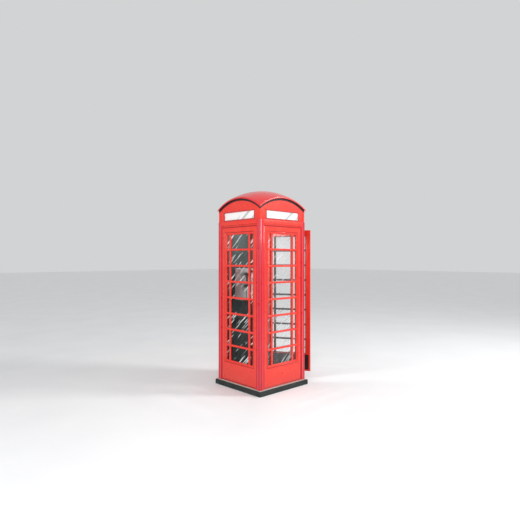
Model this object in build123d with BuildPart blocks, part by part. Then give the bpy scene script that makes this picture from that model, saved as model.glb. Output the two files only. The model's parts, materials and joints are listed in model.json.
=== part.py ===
"""Cast-iron telephone kiosk: square body with corner posts, glazed sides, hinged glazed door,
segmental fascias with opal sign glasses, a shallow domed roof and a coin telephone inside.

Frame: origin on the ground at the middle of the plinth, +Z up. The door wall faces -Y, the
telephone wall is on +X, and the other two walls are fixed glazed sides. Millimetres.
"""

import os
from math import cos, radians, sin, tan

from build123d import *

os.makedirs("parts", exist_ok=True)

# ---- driving dimensions -------------------------------------------------------------------
body_width = 860.0  # outside of the corner posts, square
plinth_height = 60.0
plinth_margin = 32.0  # how far the plinth stands out past the posts
bed_height = 8.0
bed_margin = 7.0
sill_height = 291.0  # casting base up to the glazing
glazing_height = 1718.0
stile = 97.0  # glazing to the corner post
top_rail = 114.0  # glazing up to the top of the wall castings
header_height = 65.0
sign_margin = 112.5  # fascia's end to the sign
sign_height = 101.0
sign_lift = 20.0  # header top up to the sign
roof_spring = 188.0  # header top up to the roof at the corners
dome_rise = 246.0
door_ajar = 28.0  # degrees from closed, in the pose that the parts are drawn in

# ---- section sizes ------------------------------------------------------------------------
post_face = 64.0
post_wall = 20.0
post_roll = 9.0  # radius of the rolled outer corner
reed = 5.0  # quirk that runs up each face of a post
reed_place = 21.0
casting_recess = 10.0  # wall castings sit this far behind the posts' faces
casting_back = 40.0  # depth of the wall castings' inner faces
lap = 22.0  # flange that laps behind a post
grid_recess = 16.0
grid_back = 38.0
grid_border = 10.0
bar_across = 26.0  # horizontal glazing bars
bar_up = 32.0  # vertical glazing bars
margin_pane = 56.0
rows = 8
bar_chamfer = 6.0
rebate = 6.0
glass_thick = 6.0
glass_play = 0.5
bead_thick = 8.0
fascia_inset = 12.0
fascia_thick = 18.0
sign_glass_thick = 10.0
sign_frame = 8.0
roof_thick = 16.0
roof_eave = 8.0
strip_inset = 6.0
strip_thick = 18.0
strip_depth = 36.0
bolt_radius = 4.0
bolt_head = 7.5
bolt_head_thick = 5.5
bolt_bite = 12.0
anchor_radius = 8.0
anchor_inset = 130.0
board_side = 100.0  # posts' faces to the backboard
board_foot = 82.0
board_head = 41.0

# ---- places worked out from them ----------------------------------------------------------
half = body_width / 2
bed_top = plinth_height + bed_height
glazing_low = bed_top + sill_height
glazing_high = glazing_low + glazing_height
glazing_mid = (glazing_low + glazing_high) / 2
wall_top = glazing_high + top_rail
header_top = wall_top + header_height
roof_top = header_top + roof_spring + dome_rise
roof_radius = (2 * half**2 + dome_rise**2) / (2 * dome_rise)
sign_mid = header_top + sign_lift + sign_height / 2
opening_half = half - post_face  # between two posts
glazing_width = 2 * (opening_half - stile)
fascia_half = half - fascia_inset
sign_width = 2 * (fascia_half - sign_margin)
anchor_spacing = body_width - 2 * anchor_inset
flange_half = opening_half + lap
bolt_line = opening_half + lap / 2
dome_centre = roof_top - roof_radius
pane_height = (glazing_height - (rows - 1) * bar_across) / rows
pane_pitch = pane_height + bar_across
wide_pane = glazing_width - 2 * margin_pane - 2 * bar_up
margin_place = (glazing_width - margin_pane) / 2
columns = [(-margin_place, margin_pane), (0, wide_pane), (margin_place, margin_pane)]
bolt_heights = [bed_top + 130 + k * (wall_top - bed_top - 260) / 3 for k in range(4)]
bolt_heights.append(wall_top + header_height / 2)
from_low = (Align.CENTER, Align.MIN)


def wall_plane(turn, centre=(0, 0), out=half):
    """Upright plane at an outer wall face: local x along the wall, y up, z outwards."""
    along = (cos(radians(turn)), sin(radians(turn)), 0)
    outward = (sin(radians(turn)), -cos(radians(turn)), 0)
    place = (centre[0] + out * outward[0], centre[1] + out * outward[1], 0)
    return Plane(origin=place, x_dir=along, z_dir=outward)


walls = {
    "front": wall_plane(0),
    "right": wall_plane(90),
    "back": wall_plane(180),
    "left": wall_plane(270),
}


def save(piece, name):
    """Labels a finished piece and writes it as its own file."""
    piece.part.label = name
    export_step(piece.part, f"parts/{name}.step")


def pane_places():
    """Middle, width and height of each pane of a glazed wall, in its wall plane."""
    first = glazing_low + pane_height / 2
    return [
        (x, first + row * pane_pitch, width) for x, width in columns for row in range(rows)
    ]


# ---- ground works -------------------------------------------------------------------------
plinth_side = body_width + 2 * plinth_margin
with BuildPart() as plinth:
    with BuildSketch():
        RectangleRounded(plinth_side, plinth_side, 14)
    extrude(amount=plinth_height)
    chamfer(plinth.faces().sort_by(Axis.Z)[-1].edges(), 6)
    with GridLocations(anchor_spacing, anchor_spacing, 2, 2):
        Hole(anchor_radius)
save(plinth, "plinth")

floor_inset = 54.0  # posts' faces to the mortar bed's inner edge
bed_inner = half - floor_inset
with BuildPart() as mortar_bed:
    with BuildSketch(Plane.XY.offset(plinth_height)):
        Rectangle(body_width + 2 * bed_margin, body_width + 2 * bed_margin)
        Rectangle(2 * bed_inner, 2 * bed_inner, mode=Mode.SUBTRACT)
    extrude(amount=bed_height)
save(mortar_bed, "mortar_bed")

floor_thick = 22.0
with BuildPart() as floor_slab:
    with BuildSketch(Plane.XY.offset(plinth_height)):
        Rectangle(2 * bed_inner - 2, 2 * bed_inner - 2)
        with GridLocations(anchor_spacing, anchor_spacing, 2, 2):
            Circle(anchor_radius, mode=Mode.SUBTRACT)
    extrude(amount=floor_thick)
save(floor_slab, "floor_slab")


# ---- corner posts -------------------------------------------------------------------------
def corner_post(turn, name):
    """Cast angle with a rolled corner and a quirk up each face, drilled for the wall bolts."""
    ground = Plane(origin=(0, 0, 0), x_dir=(cos(radians(turn)), sin(radians(turn)), 0), z_dir=(0, 0, 1))
    inner = post_face - post_wall
    with BuildPart() as post:
        with BuildSketch(ground.offset(bed_top)) as section:
            with Locations((half, half)):
                Rectangle(post_face, post_face, align=(Align.MAX, Align.MAX))
            corner = section.vertices().group_by(Axis((0, 0, 0), tuple(ground.x_dir + ground.y_dir)))[-1]
            fillet(corner, post_roll)
            with Locations((opening_half, opening_half)):
                Rectangle(inner, inner, align=(Align.MIN, Align.MIN), mode=Mode.SUBTRACT)
            with Locations((half, half - reed_place), (half - reed_place, half)):
                Rectangle(2 * reed, 2 * reed, rotation=45, mode=Mode.SUBTRACT)
        extrude(amount=header_top - bed_top)
        for wall, side in ((wall_plane(turn + 90), 1), (wall_plane(turn + 180), -1)):
            with BuildSketch(wall.offset(-post_wall)):
                with Locations(*[(side * bolt_line, z) for z in bolt_heights]):
                    Circle(bolt_radius)
            extrude(amount=bolt_bite, mode=Mode.SUBTRACT)
    save(post, name)


for turn, name in ((0, "back_right"), (90, "back_left"), (180, "front_left"), (270, "front_right")):
    corner_post(turn, f"corner_post_{name}")


# ---- wall castings ------------------------------------------------------------------------
def lapped_plate(face, low, high, front):
    """Plate between two posts from depth front, whose back flange laps behind both posts."""
    with BuildPart() as plate:
        with BuildSketch(face.offset(-front)):
            with Locations((0, low)):
                Rectangle(2 * opening_half, high - low, align=from_low)
        extrude(amount=front - post_wall)
        with BuildSketch(face.offset(-post_wall)):
            with Locations((0, low)):
                Rectangle(2 * flange_half, high - low, align=from_low)
        extrude(amount=post_wall - casting_back)
    return plate.part


def flange_drills(face, heights):
    """Round cutters for the wall bolts' clear holes through both flanges."""
    with BuildPart() as drills:
        with BuildSketch(face.offset(-casting_back)):
            with Locations(*[(side * bolt_line, z) for side in (-1, 1) for z in heights]):
                Circle(bolt_radius)
        extrude(amount=casting_back - post_wall)
    return drills.part


frame_opening = (glazing_width + 2 * grid_border, glazing_height + 2 * grid_border)
moulding_step = 12.0  # stepped moulding round each wall opening
moulding_deep = 3.0


def glazed_frame(face, name):
    """Outer casting of a fixed glazed side."""
    with BuildPart() as frame:
        add(lapped_plate(face, bed_top, wall_top, casting_recess))
        with BuildSketch(face.offset(-casting_recess)):
            with Locations((0, glazing_mid)):
                Rectangle(*frame_opening)
        extrude(amount=casting_recess - casting_back, mode=Mode.SUBTRACT)
        with BuildSketch(face.offset(-casting_recess)):
            with Locations((0, glazing_mid)):
                Rectangle(frame_opening[0] + 2 * moulding_step, frame_opening[1] + 2 * moulding_step)
        extrude(amount=-moulding_deep, mode=Mode.SUBTRACT)
        add(flange_drills(face, bolt_heights[:-1]), mode=Mode.SUBTRACT)
    save(frame, name)


def glazing_grid(face, name):
    """Casting of glazing bars, moulded outside and rebated inside for the panes."""
    with BuildPart() as grid:
        with BuildSketch(face.offset(-grid_recess)):
            with Locations((0, glazing_mid)):
                Rectangle(*frame_opening)
        extrude(amount=grid_recess - grid_back)
        with BuildSketch(face.offset(-grid_recess)):
            for x, z, width in pane_places():
                with Locations((x, z)):
                    Rectangle(width, pane_height)
        extrude(amount=grid_recess - grid_back, mode=Mode.SUBTRACT)
        outward = Axis(face.origin, face.z_dir)
        chamfer(grid.faces().sort_by(outward)[-1].inner_wires().edges(), bar_chamfer)
        with BuildSketch(face.offset(-grid_back)):
            for x, z, width in pane_places():
                with Locations((x, z)):
                    Rectangle(width + 2 * rebate, pane_height + 2 * rebate)
        extrude(amount=glass_thick, mode=Mode.SUBTRACT)
    save(grid, name)


def glass_panes(face, name):
    """Separate panes of a glazed wall, in the rebates of its grid."""
    with BuildPart() as glass:
        with BuildSketch(face.offset(-grid_back)):
            for x, z, width in pane_places():
                with Locations((x, z)):
                    Rectangle(
                        width + 2 * (rebate - glass_play), pane_height + 2 * (rebate - glass_play)
                    )
        extrude(amount=glass_thick)
    save(glass, name)


def glazing_bead(face, name):
    """Inner grid that holds the panes in."""
    with BuildPart() as bead:
        with BuildSketch(face.offset(-grid_back)):
            with Locations((0, glazing_mid)):
                Rectangle(frame_opening[0] - 1, frame_opening[1] - 1)
            for x, z, width in pane_places():
                with Locations((x, z)):
                    Rectangle(width, pane_height, mode=Mode.SUBTRACT)
        extrude(amount=-bead_thick)
    save(bead, name)


for side in ("left", "back"):
    glazed_frame(walls[side], f"{side}_panel_frame")
    glazing_grid(walls[side], f"{side}_glazing_bars")
    glass_panes(walls[side], f"{side}_glass_panes")
    glazing_bead(walls[side], f"{side}_glazing_bead")

field_deep = 9.0
with BuildPart() as blank_panel:
    add(lapped_plate(walls["right"], bed_top, wall_top, casting_recess))
    with BuildSketch(walls["right"].offset(-casting_recess)):
        with Locations((0, glazing_mid)):
            Rectangle(*frame_opening)
    extrude(amount=-field_deep, mode=Mode.SUBTRACT)
    with BuildSketch(walls["right"].offset(-casting_recess)):
        with Locations((0, glazing_mid)):
            Rectangle(frame_opening[0] + 2 * moulding_step, frame_opening[1] + 2 * moulding_step)
    extrude(amount=-moulding_deep, mode=Mode.SUBTRACT)
    add(flange_drills(walls["right"], bolt_heights[:-1]), mode=Mode.SUBTRACT)
save(blank_panel, "right_blank_panel")


def header(face, name):
    """Lintel between two posts above a wall casting, rounded along its top edge."""
    with BuildPart() as beam:
        add(lapped_plate(face, wall_top, header_top, 0))
        outer = beam.faces().sort_by(Axis(face.origin, face.z_dir))[-1]
        fillet(outer.edges().filter_by(lambda e: abs(e.center().Z - header_top) < 0.1), 5)
        add(flange_drills(face, bolt_heights[-1:]), mode=Mode.SUBTRACT)
    save(beam, name)


for side, face in walls.items():
    header(face, f"header_{side}")

with BuildPart() as wall_bolts:
    for face in walls.values():
        places = [(side * bolt_line, z) for side in (-1, 1) for z in bolt_heights]
        with BuildSketch(face.offset(-casting_back)):
            with Locations(*places):
                Circle(bolt_radius)
        extrude(amount=casting_back - post_wall + bolt_bite)
        with BuildSketch(face.offset(-casting_back)):
            with Locations(*places):
                RegularPolygon(bolt_head, 6)
        extrude(amount=-bolt_head_thick)
save(wall_bolts, "wall_bolts")


# ---- fascias, signs and roof --------------------------------------------------------------
strip_outer = roof_radius - roof_thick  # underside of the roof shell
strip_inner = strip_outer - strip_thick
pilaster_width = 34.0
pilaster_proud = 5.0
sign_rebate = 10.0
sign_play = 1.0


def fascia(face, half_length, name):
    """Arched casting above a header, with a framed sign opening and a pilaster at each end."""
    tall = roof_top - header_top
    sign_at = Locations((0, sign_mid))
    with BuildPart() as plate:
        with BuildSketch(face.offset(-fascia_inset)):
            with Locations((0, header_top)):
                Rectangle(2 * half_length, tall, align=from_low)
        extrude(amount=-fascia_thick)
        with BuildSketch(face.offset(-fascia_inset)):
            with Locations(*[(s * (fascia_half - pilaster_width / 2), header_top) for s in (-1, 1)]):
                Rectangle(pilaster_width, tall, align=from_low)
            with sign_at:
                Rectangle(sign_width + 2 * sign_frame, sign_height + 2 * sign_frame)
        extrude(amount=pilaster_proud)
        with Locations((0, 0, dome_centre)):
            Sphere(strip_inner, mode=Mode.INTERSECT)
        with BuildSketch(face):
            with sign_at:
                Rectangle(sign_width, sign_height)
        extrude(amount=-half, mode=Mode.SUBTRACT)
        with BuildSketch(face.offset(-fascia_inset - fascia_thick)):
            with sign_at:
                Rectangle(sign_width + 2 * sign_rebate, sign_height + 2 * sign_rebate)
        extrude(amount=sign_glass_thick, mode=Mode.SUBTRACT)
    save(plate, name)


def sign_glass(face, name):
    """Opal glass in the rebate behind a fascia's sign opening."""
    border = 2 * (sign_rebate - sign_play)
    with BuildPart() as glass:
        with BuildSketch(face.offset(-fascia_inset - fascia_thick)):
            with Locations((0, sign_mid)):
                Rectangle(sign_width + border, sign_height + border)
        extrude(amount=sign_glass_thick)
    save(glass, name)


for side, face in walls.items():
    butted = 0 if side in ("front", "back") else fascia_thick
    fascia(face, fascia_half - butted, f"fascia_{side}")
    sign_glass(face, f"sign_glass_{side}")


def roof_layer(outer_half, inner_half, outer_radius, inner_radius):
    """Square cut from the shell between two spheres about the dome's centre."""
    with BuildPart() as layer:
        with BuildSketch(Plane.XY.offset(header_top)):
            Rectangle(2 * outer_half, 2 * outer_half)
            if inner_half:
                Rectangle(2 * inner_half, 2 * inner_half, mode=Mode.SUBTRACT)
        extrude(amount=roof_top - header_top + 10)
        with Locations((0, 0, dome_centre)):
            Sphere(outer_radius, mode=Mode.INTERSECT)
            Sphere(inner_radius, mode=Mode.SUBTRACT)
    return layer


strip_half = half - strip_inset
save(roof_layer(strip_half, strip_half - strip_depth, strip_outer, strip_inner), "roof_vent_strip")
save(roof_layer(half + roof_eave, 0, roof_radius, strip_outer), "roof_dome")

# ---- ceiling and lamp ---------------------------------------------------------------------
ceiling_thick = 5.0
ceiling_play = 1.0
lamp_radius = 72.0
lamp_base_thick = 16.0
bowl_radius = 62.0
bowl_wall = 3.0
ceiling_half = half - fascia_inset - fascia_thick - ceiling_play
with BuildPart() as ceiling_panel:
    with BuildSketch(Plane.XY.offset(header_top)):
        Rectangle(2 * ceiling_half, 2 * ceiling_half)
    extrude(amount=ceiling_thick)
save(ceiling_panel, "ceiling_panel")

with BuildPart() as lamp_base:
    with BuildSketch(Plane.XY.offset(header_top)):
        Circle(lamp_radius)
    extrude(amount=-lamp_base_thick)
    chamfer(lamp_base.edges().sort_by(Axis.Z)[0], 4)
save(lamp_base, "lamp_base")

bowl_drop = 34.0  # of the bowl below the lamp base
bowl_sphere = (bowl_radius**2 + bowl_drop**2) / (2 * bowl_drop)
bowl_rim = header_top - lamp_base_thick
with BuildPart() as lamp_bowl:
    with BuildSketch(Plane.XY.offset(bowl_rim)):
        Circle(bowl_radius)
    extrude(amount=-bowl_drop)
    with Locations((0, 0, bowl_rim - bowl_drop + bowl_sphere)):
        Sphere(bowl_sphere, mode=Mode.INTERSECT)
        Sphere(bowl_sphere - bowl_wall, mode=Mode.SUBTRACT)
save(lamp_bowl, "lamp_bowl")

# ---- door casing --------------------------------------------------------------------------
jamb = 20.0
casing_recess = 8.0
threshold = 30.0
casing_head = 18.0
leaf_gap = 3.0
leaf_thick = 40.0
stop_gap = 2.0
stop_lap = 12.0
stop_thick = 12.0
stop_foot = 14.0
doorway_half = opening_half - jamb
doorway_low = bed_top + threshold
doorway_high = wall_top - casing_head
doorway_mid = (doorway_low + doorway_high) / 2
doorway_tall = doorway_high - doorway_low
leaf_back = casing_recess + leaf_thick
stop_front = leaf_back + stop_gap

with BuildPart() as door_casing:
    add(lapped_plate(walls["front"], bed_top, wall_top, casing_recess))
    with BuildSketch(walls["front"]):
        with Locations((0, doorway_mid)):
            Rectangle(2 * doorway_half, doorway_tall)
    extrude(amount=-half, mode=Mode.SUBTRACT)
    add(flange_drills(walls["front"], bolt_heights[:-1]), mode=Mode.SUBTRACT)
save(door_casing, "door_casing")

with BuildPart() as door_stop_frame:
    with BuildSketch(walls["front"].offset(-casting_back)):
        with Locations((0, doorway_mid)):
            Rectangle(2 * (doorway_half + stop_foot), doorway_tall + 2 * stop_foot)
            Rectangle(2 * doorway_half, doorway_tall, mode=Mode.SUBTRACT)
    extrude(amount=casting_back - stop_front)
    with BuildSketch(walls["front"].offset(-stop_front)):
        with Locations((0, doorway_mid)):
            Rectangle(2 * (doorway_half + stop_foot), doorway_tall + 2 * stop_foot)
            Rectangle(2 * (doorway_half - stop_lap), doorway_tall - 2 * stop_lap, mode=Mode.SUBTRACT)
    extrude(amount=-stop_thick)
save(door_stop_frame, "door_stop_frame")

# ---- door leaf, on a plane that is turned about the hinge line ----------------------------
hinge_gap = 1.5  # hinge line to the leaf's edge
leaf_half = doorway_half - leaf_gap
hinge_x = leaf_half + hinge_gap
hinge_end = 200.0  # leaf's ends to the outer hinges
swing = wall_plane(door_ajar, centre=(hinge_x, -half), out=0)
leaf_face = Plane(
    origin=swing.origin - swing.x_dir * hinge_x, x_dir=swing.x_dir, z_dir=swing.z_dir
)
leaf_low = doorway_low + leaf_gap
leaf_high = doorway_high - leaf_gap
hinge_heights = (leaf_low + hinge_end, (leaf_low + leaf_high) / 2, leaf_high - hinge_end)

with BuildPart() as door_leaf:
    with BuildSketch(leaf_face.offset(-casing_recess)):
        with Locations((0, leaf_low)):
            Rectangle(2 * leaf_half, leaf_high - leaf_low, align=from_low)
    extrude(amount=-leaf_thick)
    with BuildSketch(leaf_face):
        with Locations((0, glazing_mid)):
            Rectangle(*frame_opening)
    extrude(amount=-half, mode=Mode.SUBTRACT)
    with BuildSketch(leaf_face.offset(-casing_recess)):
        with Locations((0, glazing_mid)):
            Rectangle(frame_opening[0] + 2 * moulding_step, frame_opening[1] + 2 * moulding_step)
    extrude(amount=-moulding_deep, mode=Mode.SUBTRACT)
save(door_leaf, "door_leaf")

glazing_grid(leaf_face, "door_glazing_bars")
glass_panes(leaf_face, "door_glass_panes")
glazing_bead(leaf_face, "door_glazing_bead")

kick_thick = 2.0
kick_margin = 22.0
kick_top = glazing_low - grid_border - 8
with BuildPart() as door_kick_plate:
    with BuildSketch(leaf_face.offset(-leaf_back)):
        with Locations((0, leaf_low + kick_margin)):
            Rectangle(2 * (leaf_half - kick_margin), kick_top - leaf_low - kick_margin, align=from_low)
    extrude(amount=-kick_thick)
save(door_kick_plate, "door_kick_plate")

pull_inset = 36.0
pull_place = leaf_half - pull_inset
pull_height = 1120.0
pull_length = 190.0
pull_stand = 34.0
pull_radius = 8.0
pull_foot = 14.0
with BuildPart() as door_pull:
    outer = leaf_face.offset(-casing_recess)
    with BuildSketch(outer):
        with Locations(*[(-pull_place, pull_height + s * pull_length / 2) for s in (-1, 1)]):
            Circle(pull_foot)
    extrude(amount=4)
    low = outer.from_local_coords((-pull_place, pull_height - pull_length / 2, 0))
    with BuildLine() as bow:
        FilletPolyline(
            low,
            outer.from_local_coords((-pull_place, pull_height - pull_length / 2, pull_stand)),
            outer.from_local_coords((-pull_place, pull_height + pull_length / 2, pull_stand)),
            outer.from_local_coords((-pull_place, pull_height + pull_length / 2, 0)),
            radius=2 * pull_radius,
        )
    with BuildSketch(Plane(origin=low, z_dir=outer.z_dir)):
        Circle(pull_radius)
    sweep(path=bow.wire())
save(door_pull, "door_pull")

# ---- hinges -------------------------------------------------------------------------------
knuckle_radius = 7.0
pin_radius = 3.0
running_play = 0.05
knuckle_length = 30.0  # each of the two fixed knuckles
knuckle_gap = 0.4
flap_thick = 3.0
flap_tall = 104.0
flap_clear = 8.0
flap_jamb = opening_half - hinge_x - 2  # width of the flap on the jamb, from the hinge line
flap_leaf = 38.0
middle_length = flap_tall - 2 * knuckle_length - 2 * knuckle_gap


def hinge_side(plane, side, width, knuckles, bore):
    """Flaps and knuckles of all hinges on one side of the hinge line."""
    align = (Align.MIN, Align.CENTER) if side > 0 else (Align.MAX, Align.CENTER)
    with BuildPart() as flaps:
        for height in hinge_heights:
            with BuildSketch(plane.offset(-casing_recess)):
                with Locations((side * flap_clear, height)):
                    Rectangle(width - flap_clear, flap_tall, align=align)
                for middle, length in knuckles:
                    with Locations((0, height + middle)):
                        Rectangle(flap_clear, length, align=align)
            extrude(amount=flap_thick)
            for middle, length in knuckles:
                barrel = Plane(plane.origin + Vector(0, 0, height + middle - length / 2))
                with BuildSketch(barrel):
                    Circle(knuckle_radius)
                extrude(amount=length)
                with BuildSketch(barrel):
                    Circle(bore)
                extrude(amount=length, mode=Mode.SUBTRACT)
    return flaps


end_place = (flap_tall - knuckle_length) / 2
hinge_line = Plane(origin=(hinge_x, -half, 0), x_dir=(1, 0, 0), z_dir=(0, -1, 0))
ends = [(-end_place, knuckle_length), (end_place, knuckle_length)]
save(hinge_side(hinge_line, 1, flap_jamb, ends, pin_radius), "hinge_flaps_jamb")
running_bore = pin_radius + running_play
save(hinge_side(swing, -1, flap_leaf, [(0, middle_length)], running_bore), "hinge_flaps_door")

with BuildPart() as hinge_pins:
    for height in hinge_heights:
        foot = Plane((hinge_x, -half, height - flap_tall / 2))
        with BuildSketch(foot):
            Circle(pin_radius)
        extrude(amount=flap_tall)
        with BuildSketch(foot.offset(flap_tall), foot.offset(-pin_radius)):
            Circle(knuckle_radius - 1)
        extrude(amount=pin_radius)
save(hinge_pins, "hinge_pins")

# ---- telephone wall: planes that face the user, local x to the user's right ----------------
board_thick = 18.0
board_width = 2 * (half - board_side)
board_low = bed_top + board_foot
board_high = wall_top - board_head
board_face = half - casting_back - board_thick


def from_board(depth=0.0):
    """Upright plane that far in front of the backboard."""
    return wall_plane(270, centre=(board_face - depth, 0), out=0)


def level_plane(x, z, depth):
    """Level plane at a place on the telephone, facing up."""
    return Plane(origin=from_board(depth).from_local_coords((x, z, 0)))


with BuildPart() as backboard:
    with BuildSketch(from_board()):
        with Locations((0, board_low)):
            Rectangle(board_width, board_high - board_low, align=from_low)
    extrude(amount=-board_thick)
    chamfer(backboard.faces().sort_by(Axis.X)[0].edges(), 3)
save(backboard, "backboard")

shelf_width = 440.0
shelf_deep = 190.0
shelf_thick = 16.0
shelf_top = 930.0
bracket_thick = 12.0
bracket_tall = 130.0
bracket_place = 150.0
with BuildPart() as shelf:
    with BuildSketch(from_board()):
        with Locations((0, shelf_top - shelf_thick / 2)):
            Rectangle(shelf_width, shelf_thick)
    extrude(amount=shelf_deep)
    fillet(shelf.edges().filter_by(Axis.Z).group_by(Axis.X)[0], 20)
    for side in (-1, 1):
        root = from_board().from_local_coords((side * bracket_place, shelf_top - shelf_thick, 0))
        with BuildSketch(Plane(origin=root, x_dir=(-1, 0, 0), z_dir=(0, 1, 0))):
            Polygon((0, 0), (shelf_deep - 40, 0), (0, -bracket_tall), align=None)
        extrude(amount=bracket_thick / 2, both=True)
save(shelf, "shelf")

# ---- telephone case -----------------------------------------------------------------------
case_width = 340.0
case_tall = 450.0
case_low = 1160.0
case_deep = 126.0
case_wall = 4.0
case_corner = 14.0
plate_thick = 4.0
case_mid = case_low + case_tall / 2
plate_face = case_deep + plate_thick

cash_width = 200.0
cash_tall = 120.0
cash_gap = 1.0
cash_x = 52.0
cash_z = case_low + case_wall + cash_gap + cash_tall / 2
cash_thick = 5.0
cash_pivot = 3.0  # radius of the cash door's barrel
cash_pin = 1.5
cash_end = 8.0  # barrel length left to the fixed knuckle at each end
cash_hinge_x = cash_x + cash_width / 2 + cash_gap
cash_hinge_proud = 1.5
cash_hinge_depth = plate_face + cash_pivot + cash_hinge_proud
cash_middle = cash_tall - 2 * cash_end

cup_width = 56.0
cup_tall = 50.0
cup_deep = 56.0
cup_wall = 2.0
cup_x = 100.0
cup_z = 1352.0
flap_play = 1.0
flap_back = 8.0  # flap's front face behind the face plate
refund_thick = 2.0
refund_pivot = 2.0
refund_top = cup_z + cup_tall / 2 - flap_play - refund_pivot
refund_pin = cup_width + 2 * cup_wall - 1

handset_x = -98.0
handset_mid = 1446.0
grip_tall = 158.0
grip_width = 30.0
grip_thick = 24.0
cap_radius = 30.0
cap_step = 6.0  # grip's end to the middle of a cap
cap_deep = 25.0
cap_back = 28.0  # from the grip's middle to the cap's face
cap_taper = 17.0
cap_slope = 9.0
handset_stand = 46.0  # face plate to the grip's middle
handset_depth = plate_face + handset_stand
cap_z = handset_mid + grip_tall / 2 + cap_step
hook_rise = 4.0
hook_play = 0.3
hook_width = 64.0
hook_tall = 16.0
hook_drop = 36.0  # middle of the upper cap down to the hook's underside
hook_web = 4.0
hook_lip = 12.0
stem_width = 30.0
stem_tall = 8.0
stem_play = 1.0
hook_z = cap_z - hook_drop + hook_tall / 2
stem_z = cap_z - hook_drop + 2 + stem_tall / 2

gland_x = -64.0
gland_depth = 40.0
gland_radius = 14.0
gland_thread = 8.0
gland_end = 1135.0
cord_radius = 4.0

with BuildPart() as phone_case:
    with BuildSketch(from_board()):
        with Locations((0, case_mid)):
            RectangleRounded(case_width, case_tall, case_corner)
    extrude(amount=case_deep)
    with BuildSketch(from_board(case_wall)):
        with Locations((0, case_mid)):
            RectangleRounded(case_width - 2 * case_wall, case_tall - 2 * case_wall, case_corner - case_wall)
    extrude(amount=case_deep, mode=Mode.SUBTRACT)
    with BuildSketch(level_plane(gland_x, case_low, gland_depth)):
        Circle(gland_thread)
    extrude(amount=case_wall, mode=Mode.SUBTRACT)
save(phone_case, "phone_case")

flap_pin = Plane(
    origin=from_board(plate_face - flap_back + refund_thick / 2).from_local_coords((cup_x, refund_top, 0)),
    z_dir=(0, -1, 0),
)
with BuildPart() as phone_face_plate:
    with BuildSketch(from_board(case_deep)):
        with Locations((0, case_mid)):
            RectangleRounded(case_width, case_tall, case_corner)
        with Locations((cash_x, cash_z)):
            Rectangle(cash_width + 2 * cash_gap, cash_tall + 2 * cash_gap, mode=Mode.SUBTRACT)
        with Locations((handset_x, stem_z + hook_rise / 2)):
            Rectangle(stem_width + 2 * stem_play, stem_tall + hook_rise + 2 * stem_play, mode=Mode.SUBTRACT)
    extrude(amount=plate_thick)
    with BuildSketch(from_board(plate_face - cup_deep)):
        with Locations((cup_x, cup_z)):
            Rectangle(cup_width + 2 * cup_wall, cup_tall + 2 * cup_wall)
    extrude(amount=cup_deep)
    with BuildSketch(from_board(plate_face - cup_deep + cup_wall)):
        with Locations((cup_x, cup_z)):
            Rectangle(cup_width, cup_tall)
    extrude(amount=cup_deep, mode=Mode.SUBTRACT)
    with BuildSketch(flap_pin):
        Circle(refund_pivot + running_play)
    extrude(amount=refund_pin / 2, both=True, mode=Mode.SUBTRACT)
    for side in (-1, 1):
        end = cash_z + side * (cash_tall - cash_end) / 2
        with BuildSketch(level_plane(cash_hinge_x, end, cash_hinge_depth)):
            Circle(cash_pivot)
        extrude(amount=(cash_end - knuckle_gap) / 2, both=True)
        with BuildSketch(from_board(plate_face)):
            with Locations((cash_hinge_x, end)):
                Rectangle(2 * cash_pivot, cash_end - knuckle_gap, align=(Align.MIN, Align.CENTER))
        extrude(amount=cash_hinge_depth - plate_face)
    with BuildSketch(level_plane(cash_hinge_x, cash_z, cash_hinge_depth)):
        Circle(cash_pin)
    extrude(amount=cash_tall / 2 - 1, both=True)
save(phone_face_plate, "phone_face_plate")

# ---- dial ---------------------------------------------------------------------------------
dial_x = 55.0
dial_z = 1455.0
dial_radius = 44.0
ring_radius = 50.0
ring_thick = 6.0
finger_holes = 10
finger_radius = 6.4
finger_circle = 32.0
finger_start = 58.0
finger_range = 270.0
wheel_gap = 1.0
wheel_thick = 3.0
spindle_radius = 5.0
spindle_short = 0.5
hub_radius = 15.0
hub_thick = 1.5
stop_angle = -38.0  # finger stop, from the user's right
stop_gap_over = 2.0
stop_width = 6.0
stop_bite = 2.0  # into the ring
stop_clear = 0.5  # beside the wheel's rim
stop_reach = 4.0  # from the finger holes' circle to the tongue
stop_thick = 2.0
wheel_back = plate_face + ring_thick + wheel_gap
with BuildPart() as dial_plate:
    with BuildSketch(from_board(plate_face)):
        with Locations((dial_x, dial_z)):
            Circle(ring_radius)
    extrude(amount=ring_thick)
    chamfer(dial_plate.faces().sort_by(Axis.X)[0].edges(), 2)
    with BuildSketch(from_board(plate_face + ring_thick)):
        with Locations((dial_x, dial_z)):
            Circle(spindle_radius)
    extrude(amount=wheel_gap + wheel_thick - spindle_short)
    over = wheel_back + wheel_thick + stop_gap_over
    stop_root = (plate_face + ring_thick - stop_bite, over, dial_radius + stop_clear)
    stop_tongue = (over, over + stop_thick, finger_circle + stop_reach)
    for depth, end, inner in (stop_root, stop_tongue):
        with BuildSketch(from_board(depth)):
            with Locations((dial_x, dial_z)):
                with PolarLocations((inner + ring_radius) / 2, 1, stop_angle):
                    Rectangle(ring_radius - inner, stop_width)
        extrude(amount=end - depth)
save(dial_plate, "dial_plate")

with BuildPart() as dial_finger_wheel:
    with BuildSketch(from_board(wheel_back)):
        with Locations((dial_x, dial_z)):
            Circle(dial_radius)
            Circle(spindle_radius + running_play, mode=Mode.SUBTRACT)
            with PolarLocations(finger_circle, finger_holes, finger_start, finger_range):
                Circle(finger_radius, mode=Mode.SUBTRACT)
    extrude(amount=wheel_thick)
    with BuildSketch(from_board(wheel_back + wheel_thick)):
        with Locations((dial_x, dial_z)):
            Circle(hub_radius)
    extrude(amount=hub_thick)
save(dial_finger_wheel, "dial_finger_wheel")

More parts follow.
